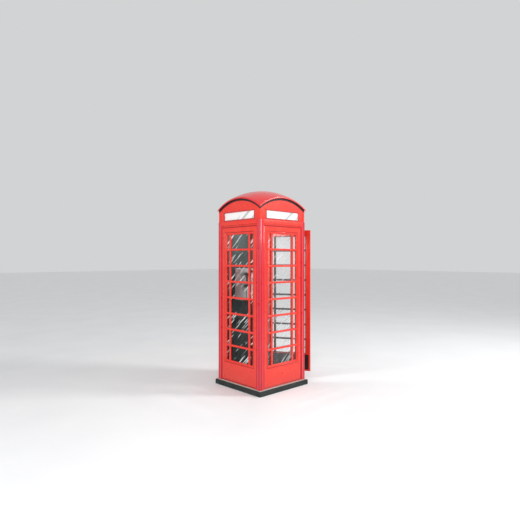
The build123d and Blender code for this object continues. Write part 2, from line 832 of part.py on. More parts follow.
# ---- coin slots and refund flap -----------------------------------------------------------
slot_plate_width = 112.0
slot_plate_tall = 34.0
slot_plate_thick = 5.0
slot_z = 1566.0
slot_pitch = 32.0
with BuildPart() as coin_slot_plate:
    with BuildSketch(from_board(plate_face)):
        with Locations((dial_x, slot_z)):
            RectangleRounded(slot_plate_width, slot_plate_tall, 4)
            with GridLocations(slot_pitch, 1, 3, 1):
                Rectangle(4, 26, mode=Mode.SUBTRACT)
    extrude(amount=slot_plate_thick)
    chamfer(coin_slot_plate.faces().sort_by(Axis.X)[0].outer_wire().edges(), 1.5)
save(coin_slot_plate, "coin_slot_plate")

with BuildPart() as refund_flap:
    with BuildSketch(from_board(plate_face - flap_back)):
        with Locations((cup_x, refund_top)):
            Rectangle(
                cup_width - 2 * flap_play,
                cup_tall - 2 * flap_play - refund_pivot,
                align=(Align.CENTER, Align.MAX),
            )
    extrude(amount=refund_thick)
    with BuildSketch(flap_pin):
        Circle(refund_pivot)
    extrude(amount=refund_pin / 2, both=True)
save(refund_flap, "refund_flap")

# ---- cash box, its door and lock ----------------------------------------------------------
box_play = 4.0
box_front = 8.0
handle_width = 70.0
handle_tall = 20.0
handle_deep = 3.0
with BuildPart() as cash_box:
    box_low = case_low + case_wall
    with BuildSketch(from_board(case_wall)):
        with Locations((cash_x, box_low)):
            Rectangle(cash_width - 2 * box_play, cash_tall - box_play, align=from_low)
    extrude(amount=case_deep - case_wall - box_front)
    fillet(cash_box.edges().filter_by(Axis.X), 4)
    with BuildSketch(from_board(case_deep - box_front - handle_deep)):
        with Locations((cash_x, cash_z)):
            RectangleRounded(handle_width, handle_tall, 5)
    extrude(amount=handle_deep, mode=Mode.SUBTRACT)
save(cash_box, "cash_box")

lock_radius = 11.0
lock_flange = 14.0
lock_proud = 7.0
lock_behind = 5.0
key_deep = 5.0
cash_tab = 14.0
with BuildPart() as cash_door:
    with BuildSketch(from_board(case_deep)):
        with Locations((cash_x, cash_z)):
            Rectangle(cash_width, cash_tall)
            Circle(lock_radius + running_play, mode=Mode.SUBTRACT)
    extrude(amount=cash_thick)
    with BuildSketch(from_board(plate_face)):
        with Locations((cash_hinge_x, cash_z)):
            Rectangle(cash_tab, cash_middle, align=(Align.MAX, Align.CENTER))
    extrude(amount=cash_hinge_depth - plate_face)
    with BuildSketch(level_plane(cash_hinge_x, cash_z, cash_hinge_depth)):
        Circle(cash_pivot)
    extrude(amount=cash_middle / 2, both=True)
    with BuildSketch(level_plane(cash_hinge_x, cash_z, cash_hinge_depth)):
        Circle(cash_pin + running_play)
    extrude(amount=cash_middle / 2, both=True, mode=Mode.SUBTRACT)
save(cash_door, "cash_door")

with BuildPart() as cash_lock:
    lock_front = case_deep + cash_thick + lock_proud
    with BuildSketch(from_board(case_deep - lock_behind)):
        with Locations((cash_x, cash_z)):
            Circle(lock_radius)
    extrude(amount=lock_front - case_deep + lock_behind)
    with BuildSketch(from_board(case_deep + cash_thick + hook_play)):
        with Locations((cash_x, cash_z)):
            Circle(lock_flange)
    extrude(amount=2)
    with BuildSketch(from_board(case_deep - lock_behind)):
        with Locations((cash_x, cash_z)):
            Rectangle(8, 34)
    extrude(amount=3)
    with BuildSketch(from_board(lock_front - key_deep)):
        with Locations((cash_x, cash_z)):
            Rectangle(3, 9)
    extrude(amount=key_deep, mode=Mode.SUBTRACT)
save(cash_lock, "cash_lock")

# ---- handset and its hook -----------------------------------------------------------------
boss_radius = 9.0
boss_tall = 12.0
boss_bite = 4.0
mouth_z = handset_mid - grip_tall / 2 - cap_step
cord_top = mouth_z - cap_radius + boss_bite - boss_tall
boss_inset = 12.0  # grip's middle to the boss, towards the wall
cord_depth = handset_depth - boss_inset
with BuildPart() as handset:
    with BuildSketch(level_plane(handset_x, handset_mid, handset_depth)):
        RectangleRounded(grip_thick, grip_width, 9)
    extrude(amount=grip_tall / 2, both=True)
    for height in (mouth_z, cap_z):
        cap = from_board(handset_depth - cap_back).from_local_coords((handset_x, height, 0))
        with BuildSketch(Plane(origin=cap, x_dir=(0, 0, 1), z_dir=(0, -1, 0))):
            Polygon(
                (0, 0),
                (cap_radius, 0),
                (cap_radius, cap_deep),
                (cap_radius - cap_slope, cap_deep + cap_taper),
                (0, cap_deep + cap_taper),
                align=None,
            )
        revolve(axis=Axis(cap, (-1, 0, 0)))
    with BuildSketch(level_plane(handset_x, cord_top, cord_depth)):
        Circle(boss_radius)
    extrude(amount=boss_tall)
save(handset, "handset")

with BuildPart() as handset_hook:
    hook_back = plate_face + stem_play
    prong_end = handset_depth - cap_back + cap_deep + cap_taper + 2
    slot_width = grip_width + 6
    with BuildSketch(from_board(hook_back)):
        with Locations((handset_x, hook_z)):
            Rectangle(hook_width, hook_tall)
    extrude(amount=hook_web)
    with BuildSketch(from_board(hook_back)):
        with Locations((handset_x, hook_z)):
            Rectangle(hook_width, hook_tall)
            Rectangle(slot_width, hook_tall, mode=Mode.SUBTRACT)
        with Locations((handset_x, cap_z)):
            Circle(cap_radius + hook_play, mode=Mode.SUBTRACT)
    extrude(amount=prong_end - hook_back)
    with BuildSketch(from_board(prong_end)):
        with Locations((handset_x, hook_z - hook_tall / 2)):
            Rectangle(hook_width, hook_tall + hook_lip, align=from_low)
            Rectangle(slot_width, hook_tall + hook_lip, align=from_low, mode=Mode.SUBTRACT)
    extrude(amount=hook_web)
    with BuildSketch(from_board(case_deep - stem_play - hook_web)):
        with Locations((handset_x, stem_z)):
            Rectangle(stem_width + 16, stem_tall + 16)
    extrude(amount=hook_web)
    with BuildSketch(from_board(case_deep - stem_play)):
        with Locations((handset_x, stem_z)):
            Rectangle(stem_width, stem_tall)
    extrude(amount=plate_thick + 2 * stem_play)
save(handset_hook, "handset_hook")

# ---- handset cord, from the handset's boss down and back up into a gland under the case ------
gland_nut = 14.0
nut_tall = 5.0
with BuildPart() as cord_gland:
    with BuildSketch(level_plane(gland_x, gland_end, gland_depth)) as tip:
        Circle(cord_radius + 2)
    with BuildSketch(level_plane(gland_x, case_low - 4, gland_depth)) as collar:
        Circle(gland_radius - 2)
    loft()
    with BuildSketch(level_plane(gland_x, case_low - 4, gland_depth)):
        Circle(gland_radius)
    extrude(amount=4)
    with BuildSketch(level_plane(gland_x, case_low, gland_depth)):
        Circle(gland_thread)
    extrude(amount=case_wall + nut_tall)
    with BuildSketch(level_plane(gland_x, case_low + case_wall, gland_depth)):
        RegularPolygon(gland_nut, 6)
    extrude(amount=nut_tall)
save(cord_gland, "cord_gland")

cord_start = from_board(cord_depth).from_local_coords((handset_x, 0, 0))
cord_finish = from_board(gland_depth).from_local_coords((gland_x, 0, 0))
towards = (cord_finish - cord_start).normalized()
cord_span = (cord_finish - cord_start).length

# Route in the upright plane through both ends: millimetres towards the gland, then height.
cord_route = [
    (0, cord_top),
    (0, 1270),
    (-6, 1214),
    (-9, 1156),
    (-5, 1102),
    (10, 1054),
    (42, 1016),
    (90, 1008),
    (126, 1038),
    (cord_span, 1086),
    (cord_span, gland_end),
]
bend_share = 0.45  # of the shorter run beside a corner, taken up by its arc
cord_points = [cord_start + towards * u + Vector(0, 0, z) for u, z in cord_route]
cord_radii = []
for before, here, after in zip(cord_points, cord_points[1:], cord_points[2:]):
    turn = radians((here - before).get_angle(after - here))
    shorter = min((here - before).length, (after - here).length)
    cord_radii.append(bend_share * shorter / tan(turn / 2))
with BuildPart() as handset_cord:
    with BuildLine() as route:
        FilletPolyline(*cord_points, radius=cord_radii)
    with BuildSketch(Plane(origin=cord_points[0], z_dir=(0, 0, -1))):
        Circle(cord_radius)
    sweep(path=route.wire())
save(handset_cord, "handset_cord")
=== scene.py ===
"""Looks of a cast-iron telephone kiosk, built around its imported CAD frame.

Metres, in the frame of the CAD part: origin on the ground under the middle of the plinth, +Z up,
door wall towards -Y, telephone wall on +X. Castings, mouldings, roof and handset are surfaces
worked out here; flat sheet and machined parts keep their CAD shape and take a finish.
"""

import json
from math import cos, pi, radians, sin

import bmesh
import bpy
import numpy as np
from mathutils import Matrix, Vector


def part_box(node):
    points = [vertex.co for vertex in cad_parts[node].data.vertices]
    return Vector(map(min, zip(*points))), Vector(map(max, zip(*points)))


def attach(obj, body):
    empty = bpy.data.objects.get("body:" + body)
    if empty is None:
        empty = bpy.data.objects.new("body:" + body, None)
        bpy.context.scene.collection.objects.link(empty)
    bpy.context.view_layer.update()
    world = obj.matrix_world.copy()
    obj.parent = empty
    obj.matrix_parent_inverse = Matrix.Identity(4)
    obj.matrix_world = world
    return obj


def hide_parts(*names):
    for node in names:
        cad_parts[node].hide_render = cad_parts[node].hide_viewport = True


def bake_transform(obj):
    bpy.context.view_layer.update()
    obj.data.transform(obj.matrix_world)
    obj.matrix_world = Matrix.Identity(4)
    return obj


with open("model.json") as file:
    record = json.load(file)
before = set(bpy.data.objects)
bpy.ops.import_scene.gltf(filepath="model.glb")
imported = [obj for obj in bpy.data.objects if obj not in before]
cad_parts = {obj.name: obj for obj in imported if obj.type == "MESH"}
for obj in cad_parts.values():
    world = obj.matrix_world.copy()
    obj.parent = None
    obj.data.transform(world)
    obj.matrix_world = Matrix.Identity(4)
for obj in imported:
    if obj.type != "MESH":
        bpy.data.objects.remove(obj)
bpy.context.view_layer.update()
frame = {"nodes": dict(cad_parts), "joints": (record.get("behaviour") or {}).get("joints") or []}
nodes = frame["nodes"]

# ---- sizes, read from the frame where it has them -------------------------------------------
MM = 0.001
POST_FACE = 64  # face of a corner post, mm
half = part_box("header_back")[1].y  # outside of the castings, square
opening_half = half - POST_FACE * MM
bed_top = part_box("mortar_bed")[1].z
wall_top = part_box("header_back")[0].z
header_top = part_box("header_back")[1].z
glazing_low, glazing_high = (corner.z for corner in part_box("back_glazing_bars"))
glazing_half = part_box("back_glazing_bars")[1].x
roof_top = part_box("roof_dome")[1].z
door_joint = next(j for j in frame["joints"] if j["name"] == "door_hinge")
ajar = -radians(door_joint["range_deg"][0])
hinge_x = door_joint["pos_m"][0]

ROWS = 8
GRID_BORDER = 10 * MM
BAR_ACROSS = 26 * MM
BAR_UP = 32 * MM
MARGIN_PANE = 56 * MM
# Depths are behind the outer plane of the castings.
CASTING_DEPTH = 10 * MM
CASTING_BACK = 40 * MM
DOOR_DEPTH = 8 * MM
DOOR_BACK = 48 * MM
FASCIA_DEPTH = 12 * MM
FASCIA_THICK = 18 * MM
DOME_RISE = 246 * MM
ROOF_THICK = 16 * MM
# Telephone: middle of the dial, middle of the lock, and the grip of the handset.
DIAL_Y, DIAL_Z = -0.055, 1.455
WHEEL_X, FIGURE_X = 0.2327, 0.2359
LOCK_MIDDLE = (0.24, -0.052, 1.225)
HAND_X, HAND_Y, HAND_Z = 0.196, 0.098, 1.446
GLAND_Z = 1.135

dome_radius = (2 * half**2 + DOME_RISE**2) / (2 * DOME_RISE)
dome_centre = roof_top - dome_radius


# ---- walls: a point is placed by x along the wall, height and depth behind its outer plane ----
class Wall:
    """Upright plane with its own x direction, outward direction and origin at ground level."""

    def __init__(self, turn, origin=None, shift=0.0):
        self.along = np.array((cos(turn), sin(turn), 0.0))
        self.out = np.array((sin(turn), -cos(turn), 0.0))
        self.origin = self.out * half if origin is None else np.array(origin) - self.along * shift

    def place(self, x, z, depth):
        """World points of arrays of x, height and depth."""
        x, z, depth = np.broadcast_arrays(x, z, depth)
        flat = self.origin + x[..., None] * self.along - depth[..., None] * self.out
        return flat + z[..., None] * np.array((0.0, 0.0, 1.0))


walls = {
    "front": Wall(0),
    "right": Wall(pi / 2),
    "back": Wall(pi),
    "left": Wall(-pi / 2),
}
door_wall = Wall(ajar, origin=(hinge_x, -half, 0.0), shift=hinge_x)


# ---- meshes ----------------------------------------------------------------------------------
def skin(grid, around=True, closed=False, capped=True):
    """Faces of a grid of points: rows are stations along a path, columns go round a profile."""
    stations, count = grid.shape[:2]
    index = np.arange(stations * count).reshape(stations, count)
    rows = index if not closed else np.vstack([index, index[:1]])
    if around:
        rows = np.hstack([rows, rows[:, :1]])
    quads = np.stack([rows[:-1, :-1], rows[:-1, 1:], rows[1:, 1:], rows[1:, :-1]], axis=-1)
    faces = [tuple(q) for q in quads.reshape(-1, 4).tolist()]
    if capped and around and not closed:
        faces.append(tuple(index[0][::-1].tolist()))
        faces.append(tuple(index[-1].tolist()))
    return grid.reshape(-1, 3), faces


def piece(name, shells, finishes, body, replaces=(), sharp=35.0, weld=None):
    """Object from shells of (points, faces[, finish index per face]), merged, turned outwards and ridden."""
    points, faces, picks = [], [], []
    for shell in shells:
        shift = sum(len(p) for p in points)
        points.append(np.asarray(shell[0], float).reshape(-1, 3))
        faces += [tuple(i + shift for i in face) for face in shell[1]]
        picks += list(shell[2]) if len(shell) > 2 else [0] * len(shell[1])
    mesh = bpy.data.meshes.new(name)
    mesh.from_pydata(np.vstack(points).tolist(), [], faces)
    for finish in finishes:
        mesh.materials.append(finish)
    mesh.polygons.foreach_set("material_index", np.array(picks, np.int32))
    tidy(mesh, weld)
    mesh.shade_smooth()
    mesh.set_sharp_from_angle(angle=radians(sharp))
    made = bpy.data.objects.new(name, mesh)
    bpy.context.scene.collection.objects.link(made)
    if body:
        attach(made, body)
    if replaces:
        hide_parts(*replaces)
    return made


def tidy(mesh, weld):
    """Merges points that meet, drops faces without area and turns every face outwards."""
    work = bmesh.new()
    work.from_mesh(mesh)
    if weld:
        bmesh.ops.remove_doubles(work, verts=work.verts, dist=weld)
        bmesh.ops.dissolve_degenerate(work, edges=work.edges, dist=weld)
    bmesh.ops.recalc_face_normals(work, faces=work.faces)
    work.to_mesh(mesh)
    work.free()


def rectangle(wall, x0, x1, z0, z1, depth):
    """Four corners of a rectangle on a wall."""
    x = np.array((x0, x1, x1, x0))
    z = np.array((z0, z0, z1, z1))
    return wall.place(x, z, np.full(4, depth))


def band(wall, loops, closed=True, capped=False):
    """Rectangles that follow each other across a moulding, joined as four mitred sides."""
    grid = np.stack([rectangle(wall, *loop[:5]) for loop in loops])
    points, faces = skin(grid, closed=closed, capped=capped)
    strips = len(loops) if closed else len(loops) - 1
    picks = [loop[5] if len(loop) > 5 else 0 for loop in loops[:strips] for _ in range(4)]
    return points, faces, picks + [0] * (len(faces) - len(picks))


def slab(wall, x0, x1, z0, z1, near, far, arris=1.2 * MM):
    """Box between two depths with its front and back edges broken."""
    loops = [
        (x0 + arris, x1 - arris, z0 + arris, z1 - arris, near),
        (x0, x1, z0, z1, near + arris),
        (x0, x1, z0, z1, far - arris),
        (x0 + arris, x1 - arris, z0 + arris, z1 - arris, far),
    ]
    return band(wall, loops, closed=False, capped=True)


def grown(rect, by, depth, finish=0):
    """A rectangle let out by an amount on all sides, at a depth."""
    x0, x1, z0, z1 = rect
    return (x0 - by, x1 + by, z0 - by, z1 + by, depth, finish)


def thicken(front, back, faces, picks):
    """Closed shell of a front sheet and a back sheet that share faces, joined along every free edge."""
    count = len(front)
    edges = {}
    for face in faces:
        for a, b in zip(face, face[1:] + face[:1]):
            edges[(a, b)] = True
    free = [(a, b) for a, b in edges if (b, a) not in edges]
    walls_round = [(b, a, a + count, b + count) for a, b in free]
    behind = [tuple(i + count for i in face[::-1]) for face in faces]
    return (
        np.vstack([front, back]),
        list(faces) + behind + walls_round,
        list(picks) + [0] * (len(behind) + len(walls_round)),
    )


def lathe(centre, axis, profile, sides=48):
    """Profile of (radius, distance along the axis) turned about the axis."""
    axis = np.array(axis, float) / np.linalg.norm(axis)
    side = np.cross(axis, (0.0, 0.0, 1.0)) if abs(axis[2]) < 0.9 else np.array((1.0, 0.0, 0.0))
    side /= np.linalg.norm(side)
    other = np.cross(axis, side)
    angle = np.linspace(0, 2 * pi, sides, endpoint=False)
    ring = np.cos(angle)[:, None] * side + np.sin(angle)[:, None] * other
    radius, height = np.array(profile, float).T
    grid = np.array(centre) + radius[:, None, None] * ring + height[:, None, None] * axis
    return skin(grid)


def swept(path, section, across):
    """Closed section carried along a path; section gives (side, up) offsets for each station."""
    path = np.asarray(path, float)
    tangent = np.gradient(path, axis=0)
    tangent /= np.linalg.norm(tangent, axis=1)[:, None]
    side = np.cross(tangent, across)
    side /= np.linalg.norm(side, axis=1)[:, None]
    up = np.cross(side, tangent)
    offset = np.broadcast_to(section, (len(path),) + np.shape(section)[-2:])
    grid = path[:, None] + offset[..., :1] * side[:, None] + offset[..., 1:] * up[:, None]
    return skin(grid)


def circle(radius, sides=16):
    """Round section."""
    angle = np.linspace(0, 2 * pi, sides, endpoint=False)
    return np.stack([radius * np.cos(angle), radius * np.sin(angle)], axis=-1)


def quarter(centre, radius, start, end, steps=4):
    """Arc of a moulding's profile, as (offset, depth) points."""
    angle = np.radians(np.linspace(start, end, steps + 1))
    return [(centre[0] + radius * cos(a), centre[1] + radius * sin(a)) for a in angle]


# ---- finishes --------------------------------------------------------------------------------
def linear(code, alpha=1.0):
    """sRGB hex colour as linear RGBA."""
    channels = [int(code[i : i + 2], 16) / 255 for i in (0, 2, 4)]
    return (*[c / 12.92 if c < 0.04045 else ((c + 0.055) / 1.055) ** 2.4 for c in channels], alpha)


def add(tree, kind, inputs=None, **settings):
    """Adds a node, sets its settings and sockets, and links the sockets that are given outputs."""
    made = tree.nodes.new(kind)
    for key, value in settings.items():
        setattr(made, key, value)
    for key, value in (inputs or {}).items():
        if isinstance(value, bpy.types.NodeSocket):
            tree.links.new(value, made.inputs[key])
        else:
            made.inputs[key].default_value = linear(value) if isinstance(value, str) else value
    return made


def blank(name):
    """Empty material, its tree and the object coordinates that its patterns read."""
    made = bpy.data.materials.new(name)
    made.use_nodes = True
    made.node_tree.nodes.clear()
    return made, made.node_tree, add(made.node_tree, "ShaderNodeTexCoord").outputs["Object"]


def surfaced(made, tree, sockets, height=None, distance=0.0, strength=1.0):
    """Ends a material in one shader, with a relief distance metres high where a height is given."""
    if height is not None:
        relief_inputs = {"Height": height, "Distance": distance, "Strength": strength}
        sockets = {**sockets, "Normal": add(tree, "ShaderNodeBump", relief_inputs).outputs["Normal"]}
    shader = add(tree, "ShaderNodeBsdfPrincipled", sockets)
    add(tree, "ShaderNodeOutputMaterial", {"Surface": shader.outputs[0]})
    return made


def patches(tree, place, size, low, high, least=0.0, most=1.0, detail=4.0):
    """Cloudy patches about size metres across: fractal noise from low to high, stretched to least
    to most."""
    cloud = add(tree, "ShaderNodeTexNoise", {"Vector": place, "Scale": 1 / size, "Detail": detail})
    reach = {"From Min": low, "From Max": high, "To Min": least, "To Max": most}
    return add(tree, "ShaderNodeMapRange", {"Value": cloud.outputs["Fac"], **reach}).outputs["Result"]


def reflection_streaks(tree, place, along, pitch, low, high, lean=1.1, length=0.12):
    """Slanting streaks of painted reflection: noise of (along + lean times height, length times height), so
    each is long and thin."""
    axes = add(tree, "ShaderNodeSeparateXYZ", {"Vector": place}).outputs
    raised = add(tree, "ShaderNodeMath", {0: axes["Z"], 1: lean}, operation="MULTIPLY").outputs[0]
    slant = add(tree, "ShaderNodeMath", {0: axes[along], 1: raised}, operation="ADD").outputs[0]
    drawn_out = add(tree, "ShaderNodeMath", {0: axes["Z"], 1: length}, operation="MULTIPLY").outputs[0]
    line = add(tree, "ShaderNodeCombineXYZ", {"X": slant, "Y": drawn_out}).outputs["Vector"]
    return patches(tree, line, pitch, low, high, detail=2.0)


# Sockets of a Mix node that mixes colours: share, first and second colour, and the result.
SHARE, FIRST, SECOND, MIXED = 0, 6, 7, 2


def enamel(name, bright, faded, dust="7A5248", coat=0.4):
    """Gloss enamel brushed on cast iron: upright brush waves about 6 mm apart, sun-faded patches
    a hand across, a duller gloss in places and street dust over the lowest 300 mm."""
    made, tree, place = blank(name)
    height = add(tree, "ShaderNodeSeparateXYZ", {"Vector": place}).outputs["Z"]
    reach = {"From Min": bed_top, "From Max": bed_top + 300 * MM, "To Min": 0.4, "To Max": 0.0}
    low_down = add(tree, "ShaderNodeMapRange", {"Value": height, **reach}).outputs["Result"]
    grime = patches(tree, place, 20 * MM, 0.42, 0.70, detail=6.0)
    grime = add(tree, "ShaderNodeMath", {0: low_down, 1: grime}, operation="MULTIPLY").outputs[0]
    sun = patches(tree, place, 110 * MM, 0.45, 0.78, most=0.5, detail=5.0)
    body = {SHARE: sun, FIRST: bright, SECOND: faded}
    body = add(tree, "ShaderNodeMix", body, data_type="RGBA").outputs[MIXED]
    dusty = {SHARE: grime, FIRST: body, SECOND: dust}
    upright = add(tree, "ShaderNodeMapping", {"Vector": place, "Scale": (1.0, 1.0, 0.12)}).outputs["Vector"]
    brush = patches(tree, upright, 6 * MM, 0.0, 1.0, detail=2.0)
    sockets = {
        "Base Color": add(tree, "ShaderNodeMix", dusty, data_type="RGBA").outputs[MIXED],
        "Roughness": patches(tree, place, 50 * MM, 0.3, 0.7, least=0.26, most=0.42),
        "Coat Weight": coat,
        "Coat Roughness": 0.1,
    }
    return surfaced(made, tree, sockets, brush, distance=0.4 * MM, strength=0.3)


def paint(name, first, second, roughness, size=50 * MM, grain=2 * MM, depth=0.2 * MM, strength=0.6, **more):
    """Paint, plastic, rubber or stone: two close colours in patches and an even fine grain."""
    made, tree, place = blank(name)
    cloudy = {SHARE: patches(tree, place, size, 0.3, 0.7, detail=5.0), FIRST: first, SECOND: second}
    duller = min(1.0, roughness * 1.15)
    sockets = {
        "Base Color": add(tree, "ShaderNodeMix", cloudy, data_type="RGBA").outputs[MIXED],
        "Roughness": patches(tree, place, size * 0.6, 0.3, 0.7, least=roughness * 0.85, most=duller),
        **{key.replace("_", " "): value for key, value in more.items()},
    }
    return surfaced(made, tree, sockets, patches(tree, place, grain, 0.2, 0.8, detail=3.0), depth, strength)


def metal(name, first, second, roughness=0.3, scale=(1.0, 1.0, 1.0), size=4 * MM):
    """Bare metal with the fine lines that its tool left, along the axes whose scale is small."""
    made, tree, place = blank(name)
    lines = add(tree, "ShaderNodeMapping", {"Vector": place, "Scale": scale}).outputs["Vector"]
    drawn = {SHARE: patches(tree, lines, size, 0.3, 0.7, detail=5.0), FIRST: first, SECOND: second}
    sockets = {
        "Base Color": add(tree, "ShaderNodeMix", drawn, data_type="RGBA").outputs[MIXED],
        "Roughness": patches(tree, lines, size, 0.3, 0.7, roughness * 0.7, roughness * 1.4, detail=5.0),
        "Metallic": 1.0,
    }
    scored = patches(tree, lines, size, 0.2, 0.8)
    return surfaced(made, tree, sockets, scored, distance=0.06 * MM, strength=0.5)


def spun(name, first, second, middle, pitch=1.2 * MM):
    """Metal turned on a lathe: rings pitch apart about an axis along X through middle. A Wave
    texture of scale 1 has 20 rings in every 2 pi of distance."""
    made, tree, place = blank(name)
    shift = {"Vector": place, "Location": tuple(-c for c in middle)}
    about = add(tree, "ShaderNodeMapping", shift).outputs["Vector"]
    rings = {"Vector": about, "Scale": 2 * pi / (20 * pitch), "Distortion": 0.3, "Detail": 2.0}
    rings = add(tree, "ShaderNodeTexWave", rings, wave_type="RINGS", rings_direction="X").outputs["Fac"]
    ringed = {SHARE: rings, FIRST: first, SECOND: second}
    ringed = add(tree, "ShaderNodeMix", ringed, data_type="RGBA").outputs[MIXED]
    sockets = {"Base Color": ringed, "Metallic": 1.0, "Roughness": 0.24}
    return surfaced(made, tree, sockets, rings, distance=0.03 * MM, strength=0.6)


def stone(name, first, second, speck, size, grain):
    """Cast concrete or mortar: cloudy grey, dark specks of aggregate three grains apart and a
    gritty face."""
    made, tree, place = blank(name)
    grey = {SHARE: patches(tree, place, size, 0.3, 0.7, detail=8.0), FIRST: first, SECOND: second}
    grey = add(tree, "ShaderNodeMix", grey, data_type="RGBA").outputs[MIXED]
    spots = add(tree, "ShaderNodeTexVoronoi", {"Vector": place, "Scale": 1 / (3 * grain)}).outputs["Distance"]
    near = {"Value": spots, "From Min": 0.12, "From Max": 0.3, "To Min": 0.7, "To Max": 0.0}
    near = add(tree, "ShaderNodeMapRange", near).outputs["Result"]
    specked = {SHARE: near, FIRST: grey, SECOND: speck}
    specked = add(tree, "ShaderNodeMix", specked, data_type="RGBA").outputs[MIXED]
    grit = patches(tree, place, grain, 0.2, 0.8, detail=8.0)
    sockets = {"Base Color": specked, "Roughness": 0.9}
    return surfaced(made, tree, sockets, grit, distance=1.2 * MM, strength=0.8)


def pane_glass(name, along, tint, stroke, body=0.16, reflection_cover=0.85):
    """Float glass that is seen through, mirrors more at a slant and carries slanting streaks of painted
    reflection.
    """
    made, tree, place = blank(name)
    reflected_streaks = reflection_streaks(tree, place, along, 32 * MM, 0.61, 0.65)
    facing = add(tree, "ShaderNodeLayerWeight", {"Blend": 0.35}).outputs["Facing"]
    clear = {"Value": facing, "To Min": body, "To Max": body + 0.15}
    clear = add(tree, "ShaderNodeMapRange", clear).outputs["Result"]
    streak_cover = add(tree, "ShaderNodeMath", {0: reflected_streaks, 1: reflection_cover}, operation="MULTIPLY").outputs[0]
    streaked = {SHARE: reflected_streaks, FIRST: tint, SECOND: stroke}
    sockets = {
        "Base Color": add(tree, "ShaderNodeMix", streaked, data_type="RGBA").outputs[MIXED],
        "Roughness": 0.04,
        "Alpha": add(tree, "ShaderNodeMath", {0: clear, 1: streak_cover}, operation="MAXIMUM").outputs[0],
    }
    made.surface_render_method = "BLENDED"
    return surfaced(made, tree, sockets)


def opal(name, along):
    """Flashed opal sign glass: even white, glossy, with faint grey slanting streaks of painted reflection."""
    made, tree, place = blank(name)
    streaked = {SHARE: reflection_streaks(tree, place, along, 80 * MM, 0.60, 0.66), FIRST: "FAFAF8", SECOND: "C4C7C8"}
    streaked = add(tree, "ShaderNodeMix", streaked, data_type="RGBA").outputs[MIXED]
    return surfaced(made, tree, {"Base Color": streaked, "Roughness": 0.12, "Coat Weight": 0.3})


def braid(name):
    """Woven cotton sleeve: two sets of threads cross at 45 degrees to the cord's run. Its UV map
    counts 3.1 mm a unit, and a Wave texture of scale 2.2 puts 7 threads in that, 0.45 mm apart."""
    made, tree, _ = blank(name)
    wrap = add(tree, "ShaderNodeUVMap", uv_map="wrap").outputs["UV"]
    sets = []
    for lean in (-pi / 4, pi / 4):
        turned = add(tree, "ShaderNodeMapping", {"Vector": wrap, "Rotation": (0.0, 0.0, lean)})
        threads = {"Vector": turned.outputs["Vector"], "Scale": 2.2, "Distortion": 0.4}
        sets.append(add(tree, "ShaderNodeTexWave", threads).outputs["Fac"])
    crossing = add(tree, "ShaderNodeMath", {0: sets[1], 1: sets[0]}, operation="MAXIMUM").outputs[0]
    woven = {SHARE: crossing, FIRST: "15171A", SECOND: "3A3D42"}
    woven = add(tree, "ShaderNodeMix", woven, data_type="RGBA").outputs[MIXED]
    sockets = {"Base Color": woven, "Roughness": 0.8, "Sheen Weight": 0.3}
    return surfaced(made, tree, sockets, crossing, distance=0.4 * MM, strength=0.8)


# Enamel on cast iron: bright post-box red, glossy where light grazes it.
red_gloss = enamel("gloss_red_enamel", "EE2A16", "F24A30")
# Posts in a deeper, bluer crimson copy of the red: painted shade along the corners.
red_post_shade = enamel("crimson_post_painted_shade", "E60F28", "EC2440")
# A deeper crimson copy of the red: painted shade in the quirks and round the sign openings.
crimson_quirk_shade = enamel("crimson_painted_shade_in_quirks", "9C0420", "AE0C2C", coat=0.6)
# Roof enamel, smoother because it was sprayed, so it mirrors the sky in a wide soft spot.
red_roof = enamel("roof_red_enamel", "E4161E", "EA2A2A", coat=0.7)
# Near-black maroon enamel: painted shadow under the roof's eave, on the vent grille and the fascia's top
# band.
eave_shadow_maroon = paint("maroon_painted_eave_shadow", "2A0D10", "3A1216", 0.6)
# Semi-gloss black paint, cleaned often: the lamp base's own black, and on the inner glazing beads, door stop
# and kick plate painted shade of the cabin's inside.
black_paint_and_shade = paint(
    "semi_gloss_black_and_painted_shade", "121615", "1E2423", 0.38,
    size=90 * MM, grain=3 * MM, depth=0.1 * MM, Coat_Weight=0.2,
)
# Ceiling sheet in flat black: painted shade of the cabin's top.
ceiling_black_shade = paint("flat_black_painted_ceiling_shade", "1B201F", "262C2B", 0.62, size=200 * MM)
# Bitumen-faced backboard: flat green-black with a slight sheet grain, partly the board's own black and partly
# painted shade of the cabin's inside.
board_black_and_shade = paint("green_black_board_and_painted_shade", "1C2624", "2C3735", 0.7, size=250 * MM, grain=4 * MM, depth=0.3 * MM)
# Plinth concrete painted and trodden near black. The cabin's floor slab as dark: painted shade of the floor
# inside. The lime mortar bed pale: a painted highlight along the top of the plinth.
plinth_stone = stone("cast_concrete_plinth", "232927", "353C3A", "151918", size=120 * MM, grain=4 * MM)
floor_stone_shade = stone("cast_concrete_floor_painted_shade", "2C3331", "3A4240", "1E2322", size=150 * MM, grain=4 * MM)
pale_bed_highlight = stone("pale_mortar_painted_highlight", "B9B6AB", "CBC8BE", "8D8A80", size=50 * MM, grain=2 * MM)
# Window glass: on the back wall a dark green tint and less clear, painted shade of the dark cabin behind it;
# on the left wall and the door nearly clear, where the light is behind it. All carry slanting streaks of
# painted reflection.
glass_back_shade = pane_glass("pane_glass_painted_cabin_shade", "X", "223230", "E9EFEE", body=0.10, reflection_cover=0.8)
glass_left = pane_glass("clear_pane_glass", "Y", "E4EAEA", "D2D6D7", body=0.01, reflection_cover=0.4)
glass_door = pane_glass("clear_door_glass", "X", "F8FAFA", "D6DADB", body=0.04, reflection_cover=0.45)
# Opal glass: even milky white that hides what is behind it.
opal_x = opal("flashed_opal_glass_front_back", "X")
opal_y = opal("flashed_opal_glass_sides", "Y")
# Blown opal bowl: white, slightly warm.
opal_bowl = paint("opal_lamp_glass", "F6F3EA", "FFFDF6", 0.15, Coat_Weight=0.4)
# Zinc-plated screws and bolts: dull silver with cloudy bloom.
zinc = metal("zinc_plated_steel", "8F9292", "B4B7B6", 0.42)
